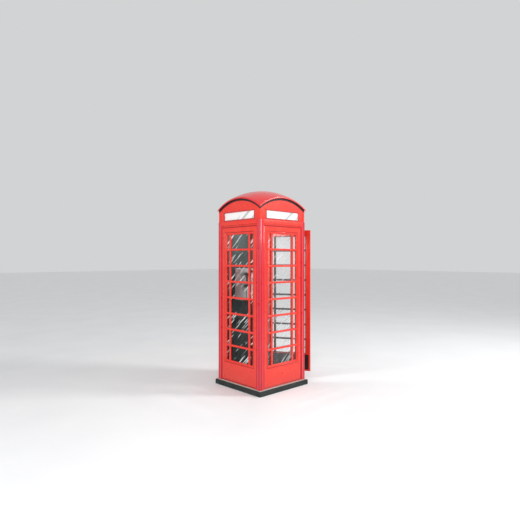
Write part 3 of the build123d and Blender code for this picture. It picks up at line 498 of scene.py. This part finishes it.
# Cast brass hinges, rubbed bright on the knuckles.
brass = metal("rubbed_brass", "B08A3C", "D9B765", 0.3, (1.0, 1.0, 0.2))
# Lock turned from brass bar: close rings that glint round its middle.
lock_brass = spun("turned_lock_brass", "B8954A", "DFC27A", LOCK_MIDDLE, pitch=0.9 * MM)
# Chrome plate: nearly a mirror, with fine polishing lines.
chrome = metal("polished_chrome", "D5D9DB", "F2F4F5", 0.1, (1.0, 1.0, 0.1), size=3 * MM)
# Stoved enamel of the telephone case, light grey with fine orange peel.
case_grey = paint(
    "stoved_grey_enamel", "C6C9C9", "D2D5D5", 0.4,
    size=60 * MM, grain=1.6 * MM, depth=0.12 * MM, Coat_Weight=0.3,
)
# Brushed stainless face plate, its lines level across it.
face_steel = metal("brushed_face_plate", "C9CCCD", "DCDFE0", 0.42, (1.0, 0.05, 1.0), size=1.2 * MM)
# Anodised black plates, satin.
black_plate = paint(
    "black_anodised_plate", "1A1C1D", "25282A", 0.4,
    size=30 * MM, grain=0.8 * MM, depth=0.05 * MM,
)
# Dial ring: vitreous enamel, cream white.
dial_enamel = paint(
    "cream_dial_enamel", "EFEADB", "F7F3E8", 0.16,
    size=30 * MM, grain=3 * MM, depth=0.05 * MM, Coat_Weight=0.5,
)
# Finger wheel spun from sheet: fine rings that catch the light in a fan.
dial_chrome = spun("spun_dial_wheel", "C2C6C8", "DFE2E3", (WHEEL_X, DIAL_Y, DIAL_Z))
# Tinned sheet of the cash box and the flap: soft grey with wide cloudy spangle.
tin = metal("tinned_steel", "A4A7A5", "BDBFBC", 0.38, size=20 * MM)
# Compression-moulded black phenolic: deep gloss with faint flow clouds.
phenolic = paint(
    "black_phenolic", "0B0C0D", "17191B", 0.18,
    size=20 * MM, grain=3 * MM, depth=0.04 * MM, Coat_Weight=0.6,
)
# Plated hook, rubbed duller than the door pull.
hook_chrome = metal("plated_hook", "C2C6C8", "DADDDE", 0.16)
# Moulded rubber gland: matt black that shows only its ribs.
rubber = paint("black_rubber", "16171A", "222427", 0.75, size=10 * MM, grain=0.7 * MM, depth=0.1 * MM)
# Braided cotton: soft and dark, with crossing threads that stand out close up.
cotton = braid("braided_cotton_cord")
# Shelf in plain dark grey paint, semi-gloss.
shelf_paint = paint("shelf_grey_paint", "4A5150", "5A6261", 0.45, size=70 * MM, depth=0.1 * MM)
# Printed figures: flat black on the cream dial.
ink = paint("black_dial_figures", "0C0C0D", "141415", 0.5, size=10 * MM)
# Floor of the room, matt and nearly white, so that the shadow on it stays soft and grey.
pale_floor = paint("pale_studio_floor", "EDEEEF", "F2F3F3", 0.9, size=0.9, grain=50 * MM, strength=0.2)

# ---- camera, floor and lights ----------------------------------------------------------------
# Level camera at eye height, off the corner between the back and left walls.
view = bpy.data.cameras.new("camera")
view.lens = 31.0
view.shift_y = -0.0010
camera = bpy.data.objects.new("camera", view)
camera.location = (-4.57, 4.32, 1.74)
camera.rotation_euler = (pi / 2, 0.0, radians(-133.2))
bpy.context.scene.collection.objects.link(camera)
bpy.context.scene.camera = camera

world = bpy.data.worlds.new("pale_room")
world.use_nodes = True
world.node_tree.nodes["Background"].inputs["Color"].default_value = linear("F6F7F8")
world.node_tree.nodes["Background"].inputs["Strength"].default_value = 0.70
bpy.context.scene.world = world
bpy.context.scene.view_settings.view_transform = "Standard"


def softbox(name, place, aim, size, watts):
    """Square area light at a place, turned to an aim point."""
    lamp = bpy.data.lights.new(name, "AREA")
    lamp.energy = watts
    lamp.size = size
    made = bpy.data.objects.new(name, lamp)
    made.location = place
    made.rotation_euler = (Vector(aim) - Vector(place)).to_track_quat("-Z", "Y").to_euler()
    bpy.context.scene.collection.objects.link(made)


# The key stands to the camera's right and high, so the shadow falls to its left.
softbox("key", (-5.6, -4.6, 5.6), (0.0, 0.0, 1.2), size=1.6, watts=350)
softbox("fill", (-1.5, 7.0, 3.2), (0.0, 0.0, 1.3), size=3.0, watts=85)
softbox("inside_fill", (-3.2, 3.0, 2.6), (0.2, -0.1, 1.4), size=1.0, watts=45)
# The booth's own lamp, just under its bowl, shows the telephone through the panes.
softbox("booth_lamp", (0.0, 0.02, 2.19), (0.18, 0.06, 1.4), size=0.11, watts=9)

ground = bpy.data.meshes.new("studio_floor")
FLOOR_HALF = 60.0
ground_corners = [(FLOOR_HALF * x, FLOOR_HALF * y, 0) for x, y in ((-1, -1), (1, -1), (1, 1), (-1, 1))]
ground.from_pydata(ground_corners, [], [(0, 1, 2, 3)])
ground.materials.append(pale_floor)
floor = bpy.data.objects.new("studio_floor", ground)
bpy.context.scene.collection.objects.link(floor)


# ---- telephone cord --------------------------------------------------------------------------
# The route is (distance along the line from the handset's boss to the gland, height).
boss = np.array((0.208, HAND_Y))
gland = np.array((0.332, 0.064))
span = float(np.linalg.norm(gland - boss))
towards = (gland - boss) / span
CORD_RADIUS = 4 * MM
route = np.array(
    [(0, 1323), (0, 1270), (-6, 1214), (-9, 1156), (-5, 1102), (10, 1054), (42, 1016), (90, 1008)]
    + [(126, 1038), (span / MM, 1086), (span / MM, 1135)]
)
route = np.hstack([boss + route[:, :1] * MM / span * (gland - boss), route[:, 1:] * MM])[::-1]
line = bpy.data.curves.new("cord_line", "CURVE")
line.dimensions = "3D"
spline = line.splines.new("NURBS")
spline.points.add(len(route) - 1)
spline.points.foreach_set("co", np.hstack([route, np.ones((len(route), 1))]).ravel())
spline.order_u = 3
spline.use_endpoint_u = True
line.resolution_u = 12
carrier = bpy.data.objects.new("cord_line", line)
bpy.context.scene.collection.objects.link(carrier)
bpy.context.view_layer.update()
drawn = bpy.data.meshes.new_from_object(carrier.evaluated_get(bpy.context.evaluated_depsgraph_get()))
cord_path = np.empty(3 * len(drawn.vertices))
drawn.vertices.foreach_get("co", cord_path)
cord_path = cord_path.reshape(-1, 3)
bpy.data.objects.remove(carrier)
CORD_SIDES = 14
WRAP = 8
cord_tube = piece(
    "handset_cord_braided",
    [swept(cord_path, circle(CORD_RADIUS, CORD_SIDES), np.array((towards[1], -towards[0], 0.0)))],
    [cotton],
    None,
    replaces=["handset_cord"],
)
# UV: once round the cord is WRAP units, and its length is counted in the same units.
run = np.concatenate([[0], np.cumsum(np.linalg.norm(np.diff(cord_path, axis=0), axis=1))])
corner = np.empty(len(cord_tube.data.loops), np.int32)
cord_tube.data.loops.foreach_get("vertex_index", corner)
face_of = np.repeat(np.arange(len(cord_tube.data.polygons)), [p.loop_total for p in cord_tube.data.polygons])
turn = (corner % CORD_SIDES) / CORD_SIDES
first_turn = turn[np.searchsorted(face_of, face_of)]
turn = turn + np.where(np.abs(turn - first_turn) > 0.5, np.sign(first_turn - turn), 0)
wrap = WRAP * np.stack([turn, run[corner // CORD_SIDES] / (2 * pi * CORD_RADIUS)], axis=-1)
cord_tube.data.uv_layers.new(name="wrap").data.foreach_set("uv", wrap.ravel())
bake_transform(cord_tube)

# ---- corner posts ----------------------------------------------------------------------------
# Outline as (distance in from one face, distance in from the other), in mm: leg, arris, quirk,
# quarter roll of 9 mm, quirk, arris, leg.
POST_WALL, ROLL = 20, 9
ARRIS = 1.5  # a broken edge, mm
QUIRK_FAR, QUIRK_NEAR, QUIRK_DEEP, LIP = 28, 14, 7, 0.4
leg = [(POST_WALL, POST_FACE, 0), (ARRIS, POST_FACE, 0), (0, POST_FACE - ARRIS, 0), (0, QUIRK_FAR + 0.6, 0)]
leg += [(LIP, QUIRK_FAR, 1), (QUIRK_DEEP, (QUIRK_FAR + QUIRK_NEAR) / 2, 1), (LIP, QUIRK_NEAR, 0)]
leg += [(0, QUIRK_NEAR - 0.6, 0), (0, ROLL, 0)]
roll = [(a, b, 0) for a, b in quarter((ROLL, ROLL), ROLL, 180, 270, 6)]
# The other leg is the first with its two distances swapped. A finish belongs to the strip after
# its point.
back_leg = leg[::-1]
other_leg = [(b, a, after[2]) for (a, b, _), after in zip(back_leg, back_leg[1:] + [(0, 0, 0)])]
outline = leg + roll[1:-1] + other_leg + [(POST_WALL, POST_WALL, 0)]
inward = half - np.array(outline)[:, :2] * MM
for turn_deg, name in ((0, "back_right"), (90, "back_left"), (180, "front_left"), (270, "front_right")):
    c, s = round(cos(radians(turn_deg))), round(sin(radians(turn_deg)))
    plan = np.stack([c * inward[:, 0] - s * inward[:, 1], s * inward[:, 0] + c * inward[:, 1]], axis=-1)
    grid = np.stack([np.hstack([plan, np.full((len(plan), 1), z)]) for z in (bed_top, header_top)])
    points, faces = skin(grid)
    picks = [finish for _, _, finish in outline] + [0, 0]
    # Posts in crimson painted shade; their quirks in deeper crimson painted shade.
    piece(f"post_{name}", [(points, faces, picks)], [red_post_shade, crimson_quirk_shade], "kiosk",
          replaces=[f"corner_post_{name}"])


# ---- wall castings ---------------------------------------------------------------------------
OUTER = (-opening_half, opening_half, bed_top, wall_top)
OPENING = (-glazing_half, glazing_half, glazing_low, glazing_high)
FLANGE = 22 * MM
PLATE_FRONT, PLATE_BACK = 20 * MM, 40 * MM


def opening_moulding(opening, front, sunk=5):
    """From the opening outwards: ovolo of 6 mm, half-round bead of 3.5 mm and a quirk in crimson painted
    shade.
    """
    ovolo = [(o, front + d * MM) for o, d in quarter((6, sunk + 1.5), 6, 180, 270)]
    bead = [(o, front + d * MM) for o, d in quarter((12.5, 0), 3.5, 180, 360, 6)]
    shape = [*ovolo, (7.5, front + 0.4 * MM), (8.2, front), *bead]
    return [grown(opening, o * MM, depth) for o, depth in shape] + [
        grown(opening, 17 * MM, front, 1),
        grown(opening, 20 * MM, front + 4 * MM, 1),
        grown(opening, 23 * MM, front),
    ]


def border_moulding(outer, front, back):
    """Near the outer edge: a quirk in crimson painted shade, then a broken arris and the side back to the
    inner face.
    """
    return [
        grown(outer, -20 * MM, front, 1),
        grown(outer, -14.5 * MM, front + 5 * MM, 1),
        grown(outer, -9 * MM, front),
        grown(outer, -ARRIS * MM, front),
        grown(outer, 0, front + ARRIS * MM),
        grown(outer, 0, back),
    ]


def flanges(wall, low, high):
    """Edges of a plate that lap behind the posts on both sides."""
    return [
        slab(wall, opening_half, opening_half + FLANGE, low, high, PLATE_FRONT, PLATE_BACK),
        slab(wall, -opening_half - FLANGE, -opening_half, low, high, PLATE_FRONT, PLATE_BACK),
    ]


def framed(wall, outer, front, back):
    """Rail-and-stile frame round the glazing, moulded on its face."""
    loops = [grown(OPENING, 0, back), *opening_moulding(OPENING, front), *border_moulding(outer, front, back)]
    return band(wall, loops)


for side in ("left", "back"):
    frame_round = framed(walls[side], OUTER, CASTING_DEPTH, CASTING_BACK)
    piece(f"{side}_frame", [frame_round, *flanges(walls[side], bed_top, wall_top)], [red_gloss, crimson_quirk_shade],
          "kiosk", replaces=[f"{side}_panel_frame"])

# The blank wall has the same mouldings round a panel sunk by another 9 mm.
SUNK = 9
sunk = [grown(OPENING, 0, CASTING_DEPTH + SUNK * MM), *opening_moulding(OPENING, CASTING_DEPTH, SUNK)]
sunk += border_moulding(OUTER, CASTING_DEPTH, CASTING_BACK)
shells = [band(walls["right"], sunk, closed=False, capped=True), *flanges(walls["right"], bed_top, wall_top)]
piece("right_blank_wall", shells, [red_gloss, crimson_quirk_shade], "kiosk",
      replaces=["right_blank_panel"])

DOOR_HOLE = (-346 * MM, 346 * MM, 98 * MM, 2173 * MM)
loops = [
    grown(DOOR_HOLE, 0, CASTING_BACK),
    grown(DOOR_HOLE, 0, DOOR_DEPTH + ARRIS * MM),
    grown(DOOR_HOLE, ARRIS * MM, DOOR_DEPTH),
    # The groove near the outer edge is deeper crimson: painted shade.
    grown(OUTER, -5 * MM, DOOR_DEPTH, 1),
    grown(OUTER, -3.5 * MM, DOOR_DEPTH + 1.5 * MM, 1),
    grown(OUTER, -2 * MM, DOOR_DEPTH),
    grown(OUTER, 0, DOOR_DEPTH + ARRIS * MM),
    grown(OUTER, 0, CASTING_BACK),
]
piece("door_surround", [band(walls["front"], loops), *flanges(walls["front"], bed_top, wall_top)],
      [red_gloss, crimson_quirk_shade], "kiosk", replaces=["door_casing"])

DOOR_GAP = 3 * MM
LEAF = grown(DOOR_HOLE, -DOOR_GAP, DOOR_DEPTH)[:4]
piece("door_frame", [framed(door_wall, LEAF, DOOR_DEPTH, DOOR_BACK)], [red_gloss, crimson_quirk_shade], "door",
      replaces=["door_leaf"])


# ---- glazing bars and beads ------------------------------------------------------------------
pane_heights = (glazing_high - glazing_low - 2 * GRID_BORDER - (ROWS - 1) * BAR_ACROSS) / ROWS
clear_half = glazing_half - GRID_BORDER
bar_inner = clear_half - MARGIN_PANE
pane_x = [(-clear_half, -bar_inner), (-bar_inner + BAR_UP, bar_inner - BAR_UP), (bar_inner, clear_half)]
pane_z = [glazing_low + GRID_BORDER + row * (pane_heights + BAR_ACROSS) for row in range(ROWS)]
edge_x = [-glazing_half, -bar_inner + BAR_UP / 2, bar_inner - BAR_UP / 2, glazing_half]
edge_z = [glazing_low, *[z - BAR_ACROSS / 2 for z in pane_z[1:]], glazing_high]


def lattice(wall, section, pull=0.0):
    """Ring of mouldings round every pane, from (distance out from the pane or None for the bar's
    middle, depth) points, with the outside closed all round."""
    reach_x = [np.clip(x, -glazing_half + pull, glazing_half - pull) for x in edge_x]
    reach_z = [np.clip(z, glazing_low + pull, glazing_high - pull) for z in edge_z]
    shells = []
    for column, (x0, x1) in enumerate(pane_x):
        for row, z0 in enumerate(pane_z):
            cell = (reach_x[column], reach_x[column + 1], reach_z[row], reach_z[row + 1])
            pane = (x0, x1, z0, z0 + pane_heights)
            loops = [(*cell, depth) if out is None else grown(pane, out * MM, depth)
                     for out, depth in section]
            shells.append(band(wall, loops, closed=False))
    around = [(x, reach_z[0]) for x in reach_x] + [(reach_x[-1], z) for z in reach_z[1:]]
    around += [(x, reach_z[-1]) for x in reach_x[-2::-1]] + [(reach_x[0], z) for z in reach_z[-2:0:-1]]
    x, z = np.array(around).T
    rim = np.stack([wall.place(x, z, np.full(len(x), depth)) for depth in (section[0][1], section[-1][1])])
    return [*shells, skin(rim, capped=False)]


bar_section = [(None, 38 * MM), (6, 38 * MM), (6, 32 * MM), (0, 32 * MM), (0, 24.5 * MM)]
bar_section += [(o, d * MM) for o, d in quarter((6.5, 24.5), 6.5, 180, 270)[1:]]
bar_section += [(7, 16.6 * MM), (8.2, 16 * MM), (None, 16 * MM)]
bead_section = [(None, 38 * MM), (0, 38 * MM), (0, 43.5 * MM), (2.5, 46 * MM), (None, 46 * MM)]
glazed = (("left", walls["left"], "kiosk"), ("back", walls["back"], "kiosk"), ("door", door_wall, "door"))
for side, wall, body in glazed:
    piece(f"{side}_bars", lattice(wall, bar_section), [red_gloss], body,
          replaces=[f"{side}_glazing_bars"], weld=1e-5)
    # Inner beads in black: painted shade on the inside of the bars.
    piece(f"{side}_inner_beads", lattice(wall, bead_section, 0.5 * MM), [black_paint_and_shade], body,
          replaces=[f"{side}_glazing_bead"], weld=1e-5)

# ---- headers ---------------------------------------------------------------------------------
# Profile (depth, height below the header's top) carried along the wall, its upper edge rolled to 8 mm.
tall = header_top - wall_top
profile = [(CASTING_BACK, -tall), (1.5 * MM, -tall), (0, -tall + 1.5 * MM), (0, -tall + 9 * MM)]
profile += [(2.5 * MM, -tall + 11 * MM), (0, -tall + 13 * MM), (0, -8 * MM)]
profile += [(d * MM, -h * MM) for d, h in quarter((8, 8), 8, 180, 270, 6)[1:]] + [(CASTING_BACK, 0)]
depth, below = np.array(profile).T
HEADER_QUIRK = (3, 4)  # the profile's strips that lie in the quirk
for side, wall in walls.items():
    first, last = (wall.place(x, header_top + below, depth) for x in np.array((-opening_half, opening_half)))
    points, faces = skin(np.stack([first, last]))
    # Strips in the quirk take the deeper crimson: painted shade.
    picks = [1 if k in HEADER_QUIRK else 0 for k in range(len(depth))] + [0, 0]
    piece(f"header_{side}_rail", [(points, faces, picks), *flanges(wall, wall_top, header_top)],
          [red_gloss, crimson_quirk_shade], "kiosk", replaces=[f"header_{side}"])


# ---- fascias and vent strip ------------------------------------------------------------------
def dome(drop):
    """Height of the roof sphere, drop inside its face, over a point of a wall at a depth."""
    return lambda x, depth: dome_centre + np.sqrt((dome_radius - drop) ** 2 - x**2 - (half - depth) ** 2)


def flat(height):
    """The same height everywhere."""
    return lambda x, depth: height + 0 * x


def relief(wall, across, upwards, depths, picks, back):
    """Cast sheet whose zones stand at their own depths with square steps between them: each zone
    brings its own copy of its edges, depth is nan where the sheet is open, and the ends are mitred."""
    share, low, high, row_zone = [], [], [], []
    for zone, (bottom, top, steps) in enumerate(upwards):
        share += np.linspace(0, 1, steps + 1).tolist()
        low += [bottom] * (steps + 1)
        high += [top] * (steps + 1)
        row_zone += [zone] * (steps + 1)
    x = np.concatenate([np.linspace(x0, x1, steps + 1) for x0, x1, steps in across])
    column_zone = np.concatenate([[zone] * (steps + 1) for zone, (_, _, steps) in enumerate(across)])
    depth = depths[np.array(row_zone)][:, column_zone]
    pick = picks[np.array(row_zone)][:, column_zone]
    shut = ~np.isnan(depth)
    front_depth = np.where(shut, depth, back)
    sheets = []
    for at in (front_depth, np.full_like(front_depth, back)):
        mitred = np.clip(np.broadcast_to(x, at.shape), -(half - at), half - at)
        z = np.stack([(1 - s) * lo(mitred[i], at[i]) + s * hi(mitred[i], at[i])
                      for i, (s, lo, hi) in enumerate(zip(share, low, high))])
        sheets.append(wall.place(mitred, z, at).reshape(-1, 3))
    index = np.arange(shut.size).reshape(shut.shape)
    keep = shut[:-1, :-1] & shut[:-1, 1:] & shut[1:, 1:] & shut[1:, :-1]
    quads = np.stack([index[:-1, :-1], index[:-1, 1:], index[1:, 1:], index[1:, :-1]], axis=-1)[keep]
    finish = np.max([pick[:-1, :-1], pick[:-1, 1:], pick[1:, 1:], pick[1:, :-1]], axis=0)[keep]
    return thicken(*sheets, [tuple(q) for q in quads.tolist()], finish.tolist())


SIGN_HALF, SIGN_LOW, SIGN_HIGH = 305.5 * MM, 2276 * MM, 2377 * MM
RIM, LINE, PILASTER, CROWN = 8 * MM, 4 * MM, 34 * MM, 14 * MM
PROUD, CROWN_DEPTH, TUCKED = 7 * MM, 9 * MM, 34 * MM
fascia_end = half - PROUD
stops = [SIGN_HALF, SIGN_HALF + LINE, SIGN_HALF + RIM, fascia_end - PILASTER, fascia_end]
spans = [(stops[k], stops[k + 1], steps) for k, steps in enumerate((1, 1, 4, 3))]
across = [(-far, -near, steps) for near, far, steps in reversed(spans)]
across += [(-SIGN_HALF, SIGN_HALF, 32), *spans]
levels = [header_top, SIGN_LOW - RIM, SIGN_LOW - LINE, SIGN_LOW, SIGN_HIGH, SIGN_HIGH + LINE, SIGN_HIGH + RIM]
upwards = [(flat(a), flat(b), 1) for a, b in zip(levels, levels[1:])]
upwards += [(flat(levels[-1]), dome(TUCKED + CROWN), 3), (dome(TUCKED + CROWN), dome(TUCKED), 1)]
# Rows of zones count from the header up and columns from one pilaster to the other.
SIGN_ROW, CROWN_ROW, SIGN_COLUMN = 3, 7, 4
sign_frame = (slice(SIGN_ROW - 2, SIGN_ROW + 3), slice(SIGN_COLUMN - 2, SIGN_COLUMN + 3))
depths = np.full((len(upwards), len(across)), FASCIA_DEPTH)
depths[CROWN_ROW] = CROWN_DEPTH
depths[:, [0, -1]] = PROUD
depths[sign_frame] = PROUD
depths[SIGN_ROW, SIGN_COLUMN] = np.nan
picks = np.zeros(depths.shape, int)
# The sign's frame is deeper crimson: painted shade round the opening.
picks[sign_frame] = 1
picks[CROWN_ROW] = 2  # near-black maroon, painted shadow under the eave like the vent strip above it
for side, wall in walls.items():
    sheet = relief(wall, across, upwards, depths, picks, FASCIA_DEPTH + FASCIA_THICK)
    piece(f"fascia_{side}_casting", [sheet], [red_gloss, crimson_quirk_shade, eave_shadow_maroon], "kiosk",
          replaces=[f"fascia_{side}"], weld=1e-5)

# Vent strip: slots 6 mm wide and 5 mm deep, 14 mm apart, in a band 18 mm high under the eave.
STRIP_DEPTH, SLOT, SLOT_DEEP, PITCH, STRIP_BACK = 6 * MM, 6 * MM, 5 * MM, 14 * MM, 42 * MM
strip_end = half - STRIP_DEPTH
count = int(2 * (strip_end - PITCH) / PITCH)
starts = (np.arange(count) - (count - 1) / 2) * PITCH - SLOT / 2
across = []
place_x = -strip_end
for start in starts:
    across += [(place_x, start, 1), (start, start + SLOT, 1)]
    place_x = start + SLOT
across.append((place_x, strip_end, 1))
drops = [TUCKED, 30 * MM, 20 * MM, ROOF_THICK]
upwards = [(dome(low), dome(high), 1) for low, high in zip(drops, drops[1:])]
depths = np.full((len(upwards), len(across)), STRIP_DEPTH)
depths[1, 1::2] = STRIP_DEPTH + SLOT_DEEP
picks = np.zeros(depths.shape, int)
shells = [relief(wall, across, upwards, depths, picks, STRIP_BACK) for wall in walls.values()]
# The grille's near-black maroon is painted shadow under the eave.
piece("vent_grille", shells, [eave_shadow_maroon], "kiosk", replaces=["roof_vent_strip"], weld=1e-5)

# ---- roof ------------------------------------------------------------------------------------
# Height = sphere, less a quarter round of 7 mm at the eave; the underside is the sphere 16 mm in.
EAVE, ROUND = half + 8 * MM, 7 * MM
near_edge = EAVE - ROUND * (1 - np.cos(np.linspace(0, pi / 2, 6)))
middle_lines = np.linspace(-EAVE + ROUND, EAVE - ROUND, 62)[1:-1]
lines_x = np.concatenate([-near_edge, middle_lines, near_edge[::-1]])
x, y = np.meshgrid(lines_x, lines_x)
inside = np.clip(EAVE - np.maximum(np.abs(x), np.abs(y)), 0, ROUND)
worn = ROUND - np.sqrt(ROUND**2 - (ROUND - inside) ** 2)
top = np.stack([x, y, dome_centre + np.sqrt(dome_radius**2 - x**2 - y**2) - worn], axis=-1)
under = np.stack([x, y, dome_centre + np.sqrt((dome_radius - ROOF_THICK) ** 2 - x**2 - y**2)], axis=-1)
points, faces = skin(top, around=False)
piece("roof_shell", [thicken(points, under.reshape(-1, 3), faces, [0] * len(faces))], [red_roof], "kiosk",
      replaces=["roof_dome"], sharp=40)


# ---- lamp, gland, pull and handset -----------------------------------------------------------
lamp_place = (0.0, 0.0, header_top)
base = [(71, 0), (72, 1), (72, 11), (70, 14), (66, 16), (64, 16)]
piece("lamp_base_turned", [lathe(lamp_place, (0, 0, -1), np.array(base) * MM, 64)], [black_paint_and_shade], "kiosk",
      replaces=["lamp_base"])
bowl = [(60, 16), (62, 18), (61.5, 24), (58, 31), (51, 38), (41, 43.5), (29, 47.5), (15, 49.5), (3, 50)]
piece("lamp_bowl_blown", [lathe(lamp_place, (0, 0, -1), np.array(bowl) * MM, 64)], [opal_bowl], "kiosk",
      replaces=["lamp_bowl"], sharp=60)

ribs = [(4.6, 0), (5.6, 0.6)]
RIB_PITCH = 4.6
for k in range(5):
    up = RIB_PITCH * k
    ribs += [(6.0 + k, up + 1), (6.4 + k, up + 3.2), (5.4 + k, up + 3.8), (5.6 + k, up + 5.0)]
ribs += [(12, 24.4), (12.6, 25), (14, 25), (14, 34), (6, 34)]
piece("gland_ribbed", [lathe((*gland, GLAND_Z), (0, 0, 1), np.array(ribs) * MM, 40)], [rubber], "kiosk",
      replaces=["cord_gland"])

# Door pull: straight out of its foot, round a quarter bend, up, and back in the same way.
PULL_X, PULL_Z, PULL_HALF, PULL_RADIUS = -307 * MM, 1.120, 95 * MM, 8 * MM
PULL_STAND, BEND = 34, 16
bend_angle = np.linspace(0, pi / 2, 7)
corner_out = PULL_STAND - BEND + BEND * np.sin(bend_angle)
corner_up = BEND - BEND * np.cos(bend_angle)
lower = np.vstack([(0, 0), np.stack([corner_out, corner_up], axis=-1)]) * MM
path_out = np.concatenate([lower[:, 0], lower[::-1, 0]])
path_up = np.concatenate([lower[:, 1] - PULL_HALF, PULL_HALF - lower[::-1, 1]])
pull_path = door_wall.place(np.full(len(path_out), PULL_X), PULL_Z + path_up, DOOR_DEPTH - path_out)
foot = np.array([(14, 0), (14, 2.5), (12.5, 4), (9.5, 5), (8.5, 6.5)]) * MM
feet = [lathe(door_wall.place(PULL_X, PULL_Z + s * PULL_HALF, np.array(DOOR_DEPTH)), door_wall.out, foot, 32)
        for s in (-1, 1)]
piece("door_pull_bent", [swept(pull_path, circle(PULL_RADIUS, 20), door_wall.along), *feet], [chrome],
      "door", replaces=["door_pull"])

# Grip: superellipse |a|^SQUARE + |b|^SQUARE = 1, wider by the fourth power of the distance from
# its middle, carried from cap to cap.
SQUARE, GRIP_HALF, CAP_AWAY, CAP_X = 2.6, 80 * MM, 85 * MM, 0.224
BOSS_Z = 1.331
angle = np.linspace(0, 2 * pi, 28, endpoint=False)
super_x = np.sign(np.cos(angle)) * np.abs(np.cos(angle)) ** (2 / SQUARE)
super_y = np.sign(np.sin(angle)) * np.abs(np.sin(angle)) ** (2 / SQUARE)
rise = np.linspace(-1, 1, 25)
swell = rise**4
grip = np.stack(
    [
        HAND_X + (10.5 + 1.5 * swell)[:, None] * MM * super_x,
        HAND_Y + (12.5 + 3.5 * swell)[:, None] * MM * super_y,
        np.broadcast_to(HAND_Z + GRIP_HALF * rise[:, None], (len(rise), len(angle))),
    ],
    axis=-1,
)
# Cap: a dished face with a rolled rim, a groove round it, then a rounded back. Sleeve: a collar
# that tapers onto the cord.
cap = [(2, 2.4), (17, 2.4), (19, 0.8), (22, 0), (26.5, 0), (29, 1), (30, 3), (30, 9), (29, 9.8)]
cap += [(29, 11.2), (30, 12), (30, 23), (29, 27), (26.5, 33), (23.5, 38.5), (21, 41), (17, 42), (3, 42)]
shells = [skin(grip)]
for z in (HAND_Z + CAP_AWAY, HAND_Z - CAP_AWAY):
    shells.append(lathe((CAP_X, HAND_Y, z), (-1, 0, 0), np.array(cap) * MM))
sleeve = [(8, -4), (9, 0), (9, 3), (8, 4), (8, 5), (8.6, 5.6), (7.5, 8), (4.2, 8)]
shells.append(lathe((*boss, BOSS_Z), (0, 0, -1), np.array(sleeve) * MM, 32))
piece("handset_moulded", shells, [phenolic], "handset", replaces=["handset"], sharp=32)

# ---- dial figures and screws -----------------------------------------------------------------
FIGURE_TALL, FIGURE_RING, FIRST_AT, FIGURE_STEP = 7.5 * MM, 32 * MM, 58, 27
figure_parts = []
for k, figure in enumerate("1234567890"):
    text = bpy.data.curves.new("figure", "FONT")
    text.body = figure
    text.size = FIGURE_TALL
    text.align_x = "CENTER"
    text.align_y = "CENTER"
    text.extrude = 0.1 * MM
    shown = bpy.data.objects.new("figure", text)
    bpy.context.scene.collection.objects.link(shown)
    bpy.context.view_layer.update()
    flat_mesh = bpy.data.meshes.new_from_object(shown.evaluated_get(bpy.context.evaluated_depsgraph_get()))
    local = np.empty(3 * len(flat_mesh.vertices))
    flat_mesh.vertices.foreach_get("co", local)
    local = local.reshape(-1, 3)
    at = radians(FIRST_AT + FIGURE_STEP * k)
    # Text x runs to the caller's right (-Y), text y up, and its front faces -X.
    middle_y, middle_z = DIAL_Y - FIGURE_RING * cos(at), DIAL_Z + FIGURE_RING * sin(at)
    world_points = np.stack([FIGURE_X - local[:, 2], middle_y - local[:, 0], middle_z + local[:, 1]], axis=-1)
    figure_parts.append((world_points, [tuple(p.vertices) for p in flat_mesh.polygons]))
    bpy.data.objects.remove(shown)
piece("dial_figures", figure_parts, [ink], "kiosk", weld=1e-6)

# Domed screw heads at the corners of the face plate and the coin slot plate.
head = np.array([(4, 0), (4, 0.6), (3.4, 1.4), (2.2, 1.9), (0.6, 2.1)]) * MM
FACE_X, SLOT_PLATE_X = 0.242, 0.237
screws = [(FACE_X, y, z) for y in (-0.158, 0.158) for z in (1.385, 1.598)] + [(FACE_X, 0.158, 1.172)]
screws += [(SLOT_PLATE_X, y, 1.566) for y in (-0.105, -0.005)]
piece("face_plate_screws", [lathe(place, (-1, 0, 0), head, 20) for place in screws], [zinc], "kiosk")

# ---- finishes on the parts that keep their CAD shape ------------------------------------------
for finish, names in (
    (plinth_stone, ["plinth"]),
    (pale_bed_highlight, ["mortar_bed"]),
    (floor_stone_shade, ["floor_slab"]),
    (glass_back_shade, ["back_glass_panes"]),
    (glass_left, ["left_glass_panes"]),
    (glass_door, ["door_glass_panes"]),
    (opal_x, ["sign_glass_front", "sign_glass_back"]),
    (opal_y, ["sign_glass_left", "sign_glass_right"]),
    (zinc, ["wall_bolts"]),
    (ceiling_black_shade, ["ceiling_panel"]),
    # Door stop and kick plate in black: painted shade inside the door.
    (black_paint_and_shade, ["door_stop_frame", "door_kick_plate"]),
    (brass, ["hinge_flaps_door", "hinge_flaps_jamb", "hinge_pins"]),
    (board_black_and_shade, ["backboard"]),
    (shelf_paint, ["shelf"]),
    (case_grey, ["phone_case", "cash_door"]),
    (face_steel, ["phone_face_plate"]),
    (black_plate, ["coin_slot_plate"]),
    (dial_enamel, ["dial_plate"]),
    (dial_chrome, ["dial_finger_wheel"]),
    (tin, ["refund_flap", "cash_box"]),
    (lock_brass, ["cash_lock"]),
    (hook_chrome, ["handset_hook"]),
):
    for name in names:
        for place in nodes[name].material_slots:
            place.material = finish
